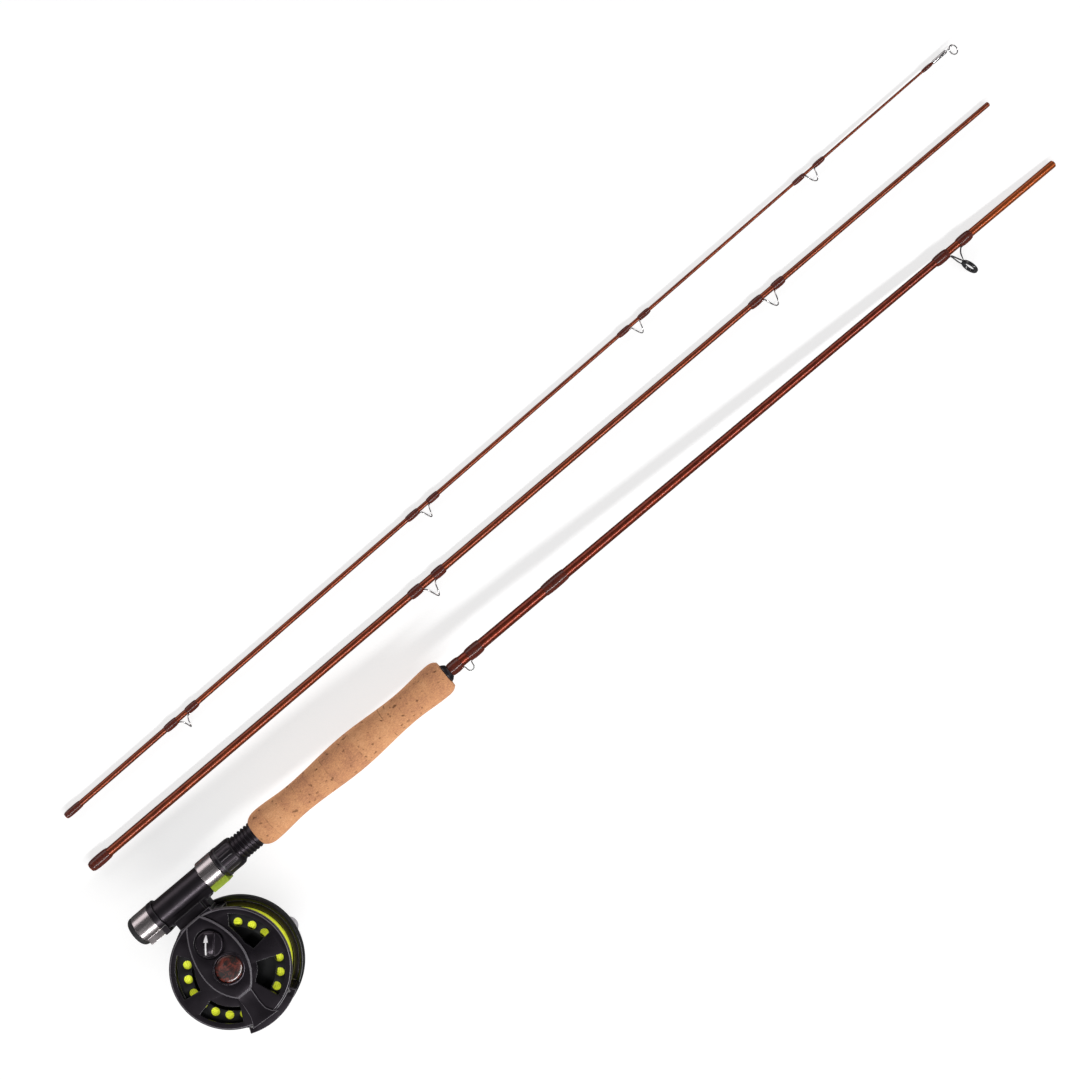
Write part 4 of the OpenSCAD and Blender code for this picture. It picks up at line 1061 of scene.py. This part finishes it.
def dome():
    """The medallion: a clear dome over a marbled disc."""
    low, high = local_box("medallion", REEL)
    middle = REEL @ Matrix.Translation(((low.x + high.x) / 2, (low.y + high.y) / 2, 0))
    radius = (high.y - low.y) / 2
    outline = [(low.z, 0), (low.z, radius - 0.15), (low.z + 0.15, radius)]
    for k in range(DOME_STEPS + 1):
        r = radius * math.cos(math.pi / 2 * k / DOME_STEPS)
        edge = DOME_ROLL * (r / radius) ** 9
        outline.append((high.z - DOME_FALL * r * r - edge, r))
    outline[-1] = (outline[-1][0], 0)
    verts, faces = [], []
    revolve(verts, faces, middle, outline, 96, around_z)
    built("marbled_dome", verts, faces, "butt_section", "medallion", "medallion", "medallion")


# The knob's waist is this much narrower than its ends
WAIST = 0.9
# The recess in the knob's free end, as deep as this and as wide as this share of the knob
RECESS_DEPTH = 1.8
RECESS_SHARE = 0.63


def knob():
    """The handle knob: a turned grip with a waist, on its pin."""
    low, high = local_box("handle_knob", KNOB)
    radius = (high.y - low.y) / 2
    bore = min(math.hypot(p.x, p.y) for p in local_points("handle_knob", KNOB))
    span = high.z - low.z
    recess = radius * RECESS_SHARE
    side = [(low.z + span * u, radius - 0.2 - WAIST * math.sin(math.pi * u) ** 1.3)
            for u in (k / 24 for k in range(2, 23))]
    head = rounded([(low.z, recess), (low.z, radius - 0.9), (low.z + 1.1, radius), side[0]],
                   0.8, 5, False)
    tail = rounded([side[-1], (high.z - 0.8, radius - 0.3), (high.z, radius - 1.2), (high.z, bore)],
                   0.5, 4, False)
    outline = [*head, *side[1:-1], *tail, (low.z + RECESS_DEPTH, bore), (low.z + RECESS_DEPTH, recess)]
    verts, faces = [], []
    revolve(verts, faces, KNOB, outline, 72, around_z)
    piece = built("knob_grip", verts, faces, "handle_knob", "knob_plastic", "knob", "handle_knob")
    shade_by_angle(piece, 40)


# The dial's bar: its angle at rest, and the radius of its rounded top
DIAL_ANGLE = math.radians(50)
BAR_ARC = 14
# The pointer's half widths along the bar, and how far it lies to one side of the bar's middle
POINTER = [(-6.6, 0.5), (-2.0, 0.5), (2.2, 0.5), (2.3, 1.5), (4.4, 1.05), (6.9, 0.12)]
POINTER_OFFSET = 1.7
# Its section's corners, as shares of the half width and as heights on the bar's top
POINTER_SECTION = ((-1, -0.12), (1, -0.12), (1, 0.07), (-1, 0.07))


def dial_mark():
    """A plain pointer let into the top of the dial's bar."""
    high = local_box("drag_dial", DIAL)[1]
    turned = DIAL @ Matrix.Rotation(DIAL_ANGLE, 4, "Z")
    crest = high.z - BAR_ARC

    def top(x):
        return crest + math.sqrt(BAR_ARC**2 - x * x)

    rows = []
    for (xa, wa), (xb, wb) in zip(POINTER, POINTER[1:]):
        rows += [(xa + (xb - xa) * k / 6, wa + (wb - wa) * k / 6) for k in range(6)]
    rows.append(POINTER[-1])
    verts, faces = [], []

    def point(i, j):
        x, width = rows[i]
        across, rise = POINTER_SECTION[j]
        return turned @ Vector((x, POINTER_OFFSET + width * across, top(x) + rise))

    grid(verts, faces, point, len(rows), 4, False)
    faces.append((3, 2, 1, 0))
    end = (len(rows) - 1) * 4
    faces.append((end, end + 1, end + 2, end + 3))
    piece = built("dial_pointer", verts, faces, "drag_dial", "knob_plastic", "mark")
    shade_by_angle(piece, 30)


# ---------- Assembly ----------

for node_name in ("butt_blank", "mid_blank", "tip_blank"):
    keep(node_name, node_name)
keep("seat_arbors", "foam")
keep("spool_bush", "brass")
for node_name in (
    "foot_screws", "frame_screws", "cover_screws", "spindle", "spindle_nut", "click_posts",
    "click_spring", "drag_cam", "click_pawl", "click_ratchet", "latch_screws", "latch_spring",
    "latch_lever", "handle_pin",
):
    keep(node_name, "steel")

for node_name, width, body_name, slot_name, look_name, piece_name in (
    ("butt_cap", 0.5, "butt_section", "rubber", "rubber", "rubber_cap"),
    ("fixed_hood", 0.3, "butt_section", "hood_metal", "hood", "polished_fixed_hood"),
    ("hood_collar", 0.35, "butt_section", "seat_plastic", "seat", "collar_ring"),
    ("winding_check", 0.25, "butt_section", "seat_plastic", "seat", "check_ring"),
    ("reel_foot", 0.45, "butt_section", "seat_plastic", "seat", "foot_and_stem"),
    ("sliding_hood", 0.3, "sliding_hood", "hood_metal", "hood", "polished_sliding_hood"),
    ("hood_insert", 0.4, "sliding_hood", "lime_plastic", "lime", "lime_block"),
    ("lock_nut", 0.3, "lock_nut", "seat_plastic", "seat", "fluted_nut"),
    ("frame_plate", 0.35, "butt_section", "frame_composite", "plate", "face_plate"),
    ("frame_cage", 0.3, "butt_section", "frame_composite", "composite", "cage"),
    ("leaf_cover", 0.42, "butt_section", "frame_composite", "leaf", "leaf"),
    ("medallion_bezel", 0.3, "butt_section", "frame_composite", "dial", "bezel"),
    ("drag_dial", 0.3, "drag_dial", "frame_composite", "dial", "dial"),
    ("spool", 0.18, "spool", "spool_composite", "spool", "ported_spool"),
    ("palming_rim", 0.5, "spool", "spool_composite", "spool", "rim"),
    ("latch_cover", 0.3, "spool", "frame_composite", "composite", "latch_cap"),
    ("counterweight", 0.3, "spool", "steel", "steel", "balance_weight"),
):
    bevelled(node_name, width, body_name, slot_name, look_name, piece_name)

cork_grip()
seat_barrel()
wraps("keeper_wraps", "butt", (-1, 1))
wraps("accent_wrap", "butt", (0,))
wraps("stripping_guide_wraps", "butt", (-1, 1))
wraps("mid_ferrule_wrap", "mid", (0,))
wraps("mid_guide_wraps", "mid", (-1, 1) * 2)
wraps("tip_ferrule_wrap", "tip", (0,))
wraps("tip_guide_wraps", "tip", (-1, 1) * 4)
wraps("tip_top_wrap", "tip", (0,))
for number in (1, 2):
    snake_guide(f"mid_snake_guide_{number}", "mid", MID_WIRE_R)
for number in (1, 2, 3, 4):
    snake_guide(f"tip_snake_guide_{number}", "tip", TIP_WIRE_R)
hook_keeper()
stripping_guide()
tip_top()
wound_line()
dome()
knob()
dial_mark()


# ---------- Stage, light and camera ----------

FLOOR_HALF = 6.0


def stage_floor():
    """A pale floor, which also glows a little so that the shadows stay faint."""
    mesh_data = bpy.data.meshes.new("floor")
    corners = [(FLOOR_HALF * x, FLOOR_HALF * y, 0) for x, y in ((-1, -1), (1, -1), (1, 1), (-1, 1))]
    mesh_data.from_pydata(corners, [], [(0, 1, 2, 3)])
    floor = bpy.data.objects.new("floor", mesh_data)
    bpy.context.scene.collection.objects.link(floor)
    look = Shader("pale floor", None, Roughness=0.9, Emission_Strength=0.72)
    look.colour((0.36, 0.36, 0.36))
    look.surface.inputs["Emission Color"].default_value = (1, 1, 1, 1)
    mesh_data.materials.append(look.material)
    floor.visible_glossy = False


def area_light(name, place, target, width, height, power, tint=(1, 1, 1)):
    """A soft box at the place, turned to the target. Metres and watts."""
    light = bpy.data.lights.new(name, "AREA")
    light.shape = "RECTANGLE"
    light.size = width
    light.size_y = height
    light.energy = power
    light.color = tint
    holder = bpy.data.objects.new(name, light)
    bpy.context.scene.collection.objects.link(holder)
    holder.location = place
    holder.rotation_euler = (Vector(target) - Vector(place)).to_track_quat("-Z", "Y").to_euler()


def world_light(level, strength):
    """An even grey sky."""
    world = bpy.data.worlds.new("studio")
    bpy.context.scene.world = world
    world.use_nodes = True
    back = world.node_tree.nodes["Background"]
    back.inputs["Color"].default_value = (level, level, level, 1)
    back.inputs["Strength"].default_value = strength


# The camera looks straight down. Metres above the floor, metres from the middle, its turn and its view
CAMERA_HEIGHT = 1.035
CAMERA_PLACE = (-0.0298, 0.0265)
CAMERA_TURN = math.radians(-39.955)
CAMERA_ANGLE = math.radians(41.4)


def overhead_camera():
    lens = bpy.data.cameras.new("camera")
    lens.sensor_fit = "HORIZONTAL"
    lens.angle = CAMERA_ANGLE
    lens.clip_end = 50
    camera = bpy.data.objects.new("camera", lens)
    bpy.context.scene.collection.objects.link(camera)
    camera.location = (*CAMERA_PLACE, CAMERA_HEIGHT)
    camera.rotation_euler = (0, 0, CAMERA_TURN)
    bpy.context.scene.camera = camera


bpy.context.scene.view_settings.view_transform = "Standard"
stage_floor()
world_light(0.9, 0.12)
area_light("key", (-0.15, -1.25, 1.45), (-0.15, 0, 0), 3.2, 0.2, 44)
area_light("fill", (-0.15, 1.7, 0.75), (-0.15, 0, 0.05), 3.2, 1.1, 17, (1.0, 0.95, 0.95))
area_light("over_reel", (-1.05, -0.2, 1.35), (-1.05, -0.2, 0), 0.7, 0.5, 0.35)
area_light("strip_right", (2.0, -0.2, 0.2), (-0.1, 0, 0.1), 2.6, 0.16, 6)
area_light("strip_left", (-2.2, -0.2, 0.2), (-0.1, 0, 0.1), 2.6, 0.16, 6)
overhead_camera()
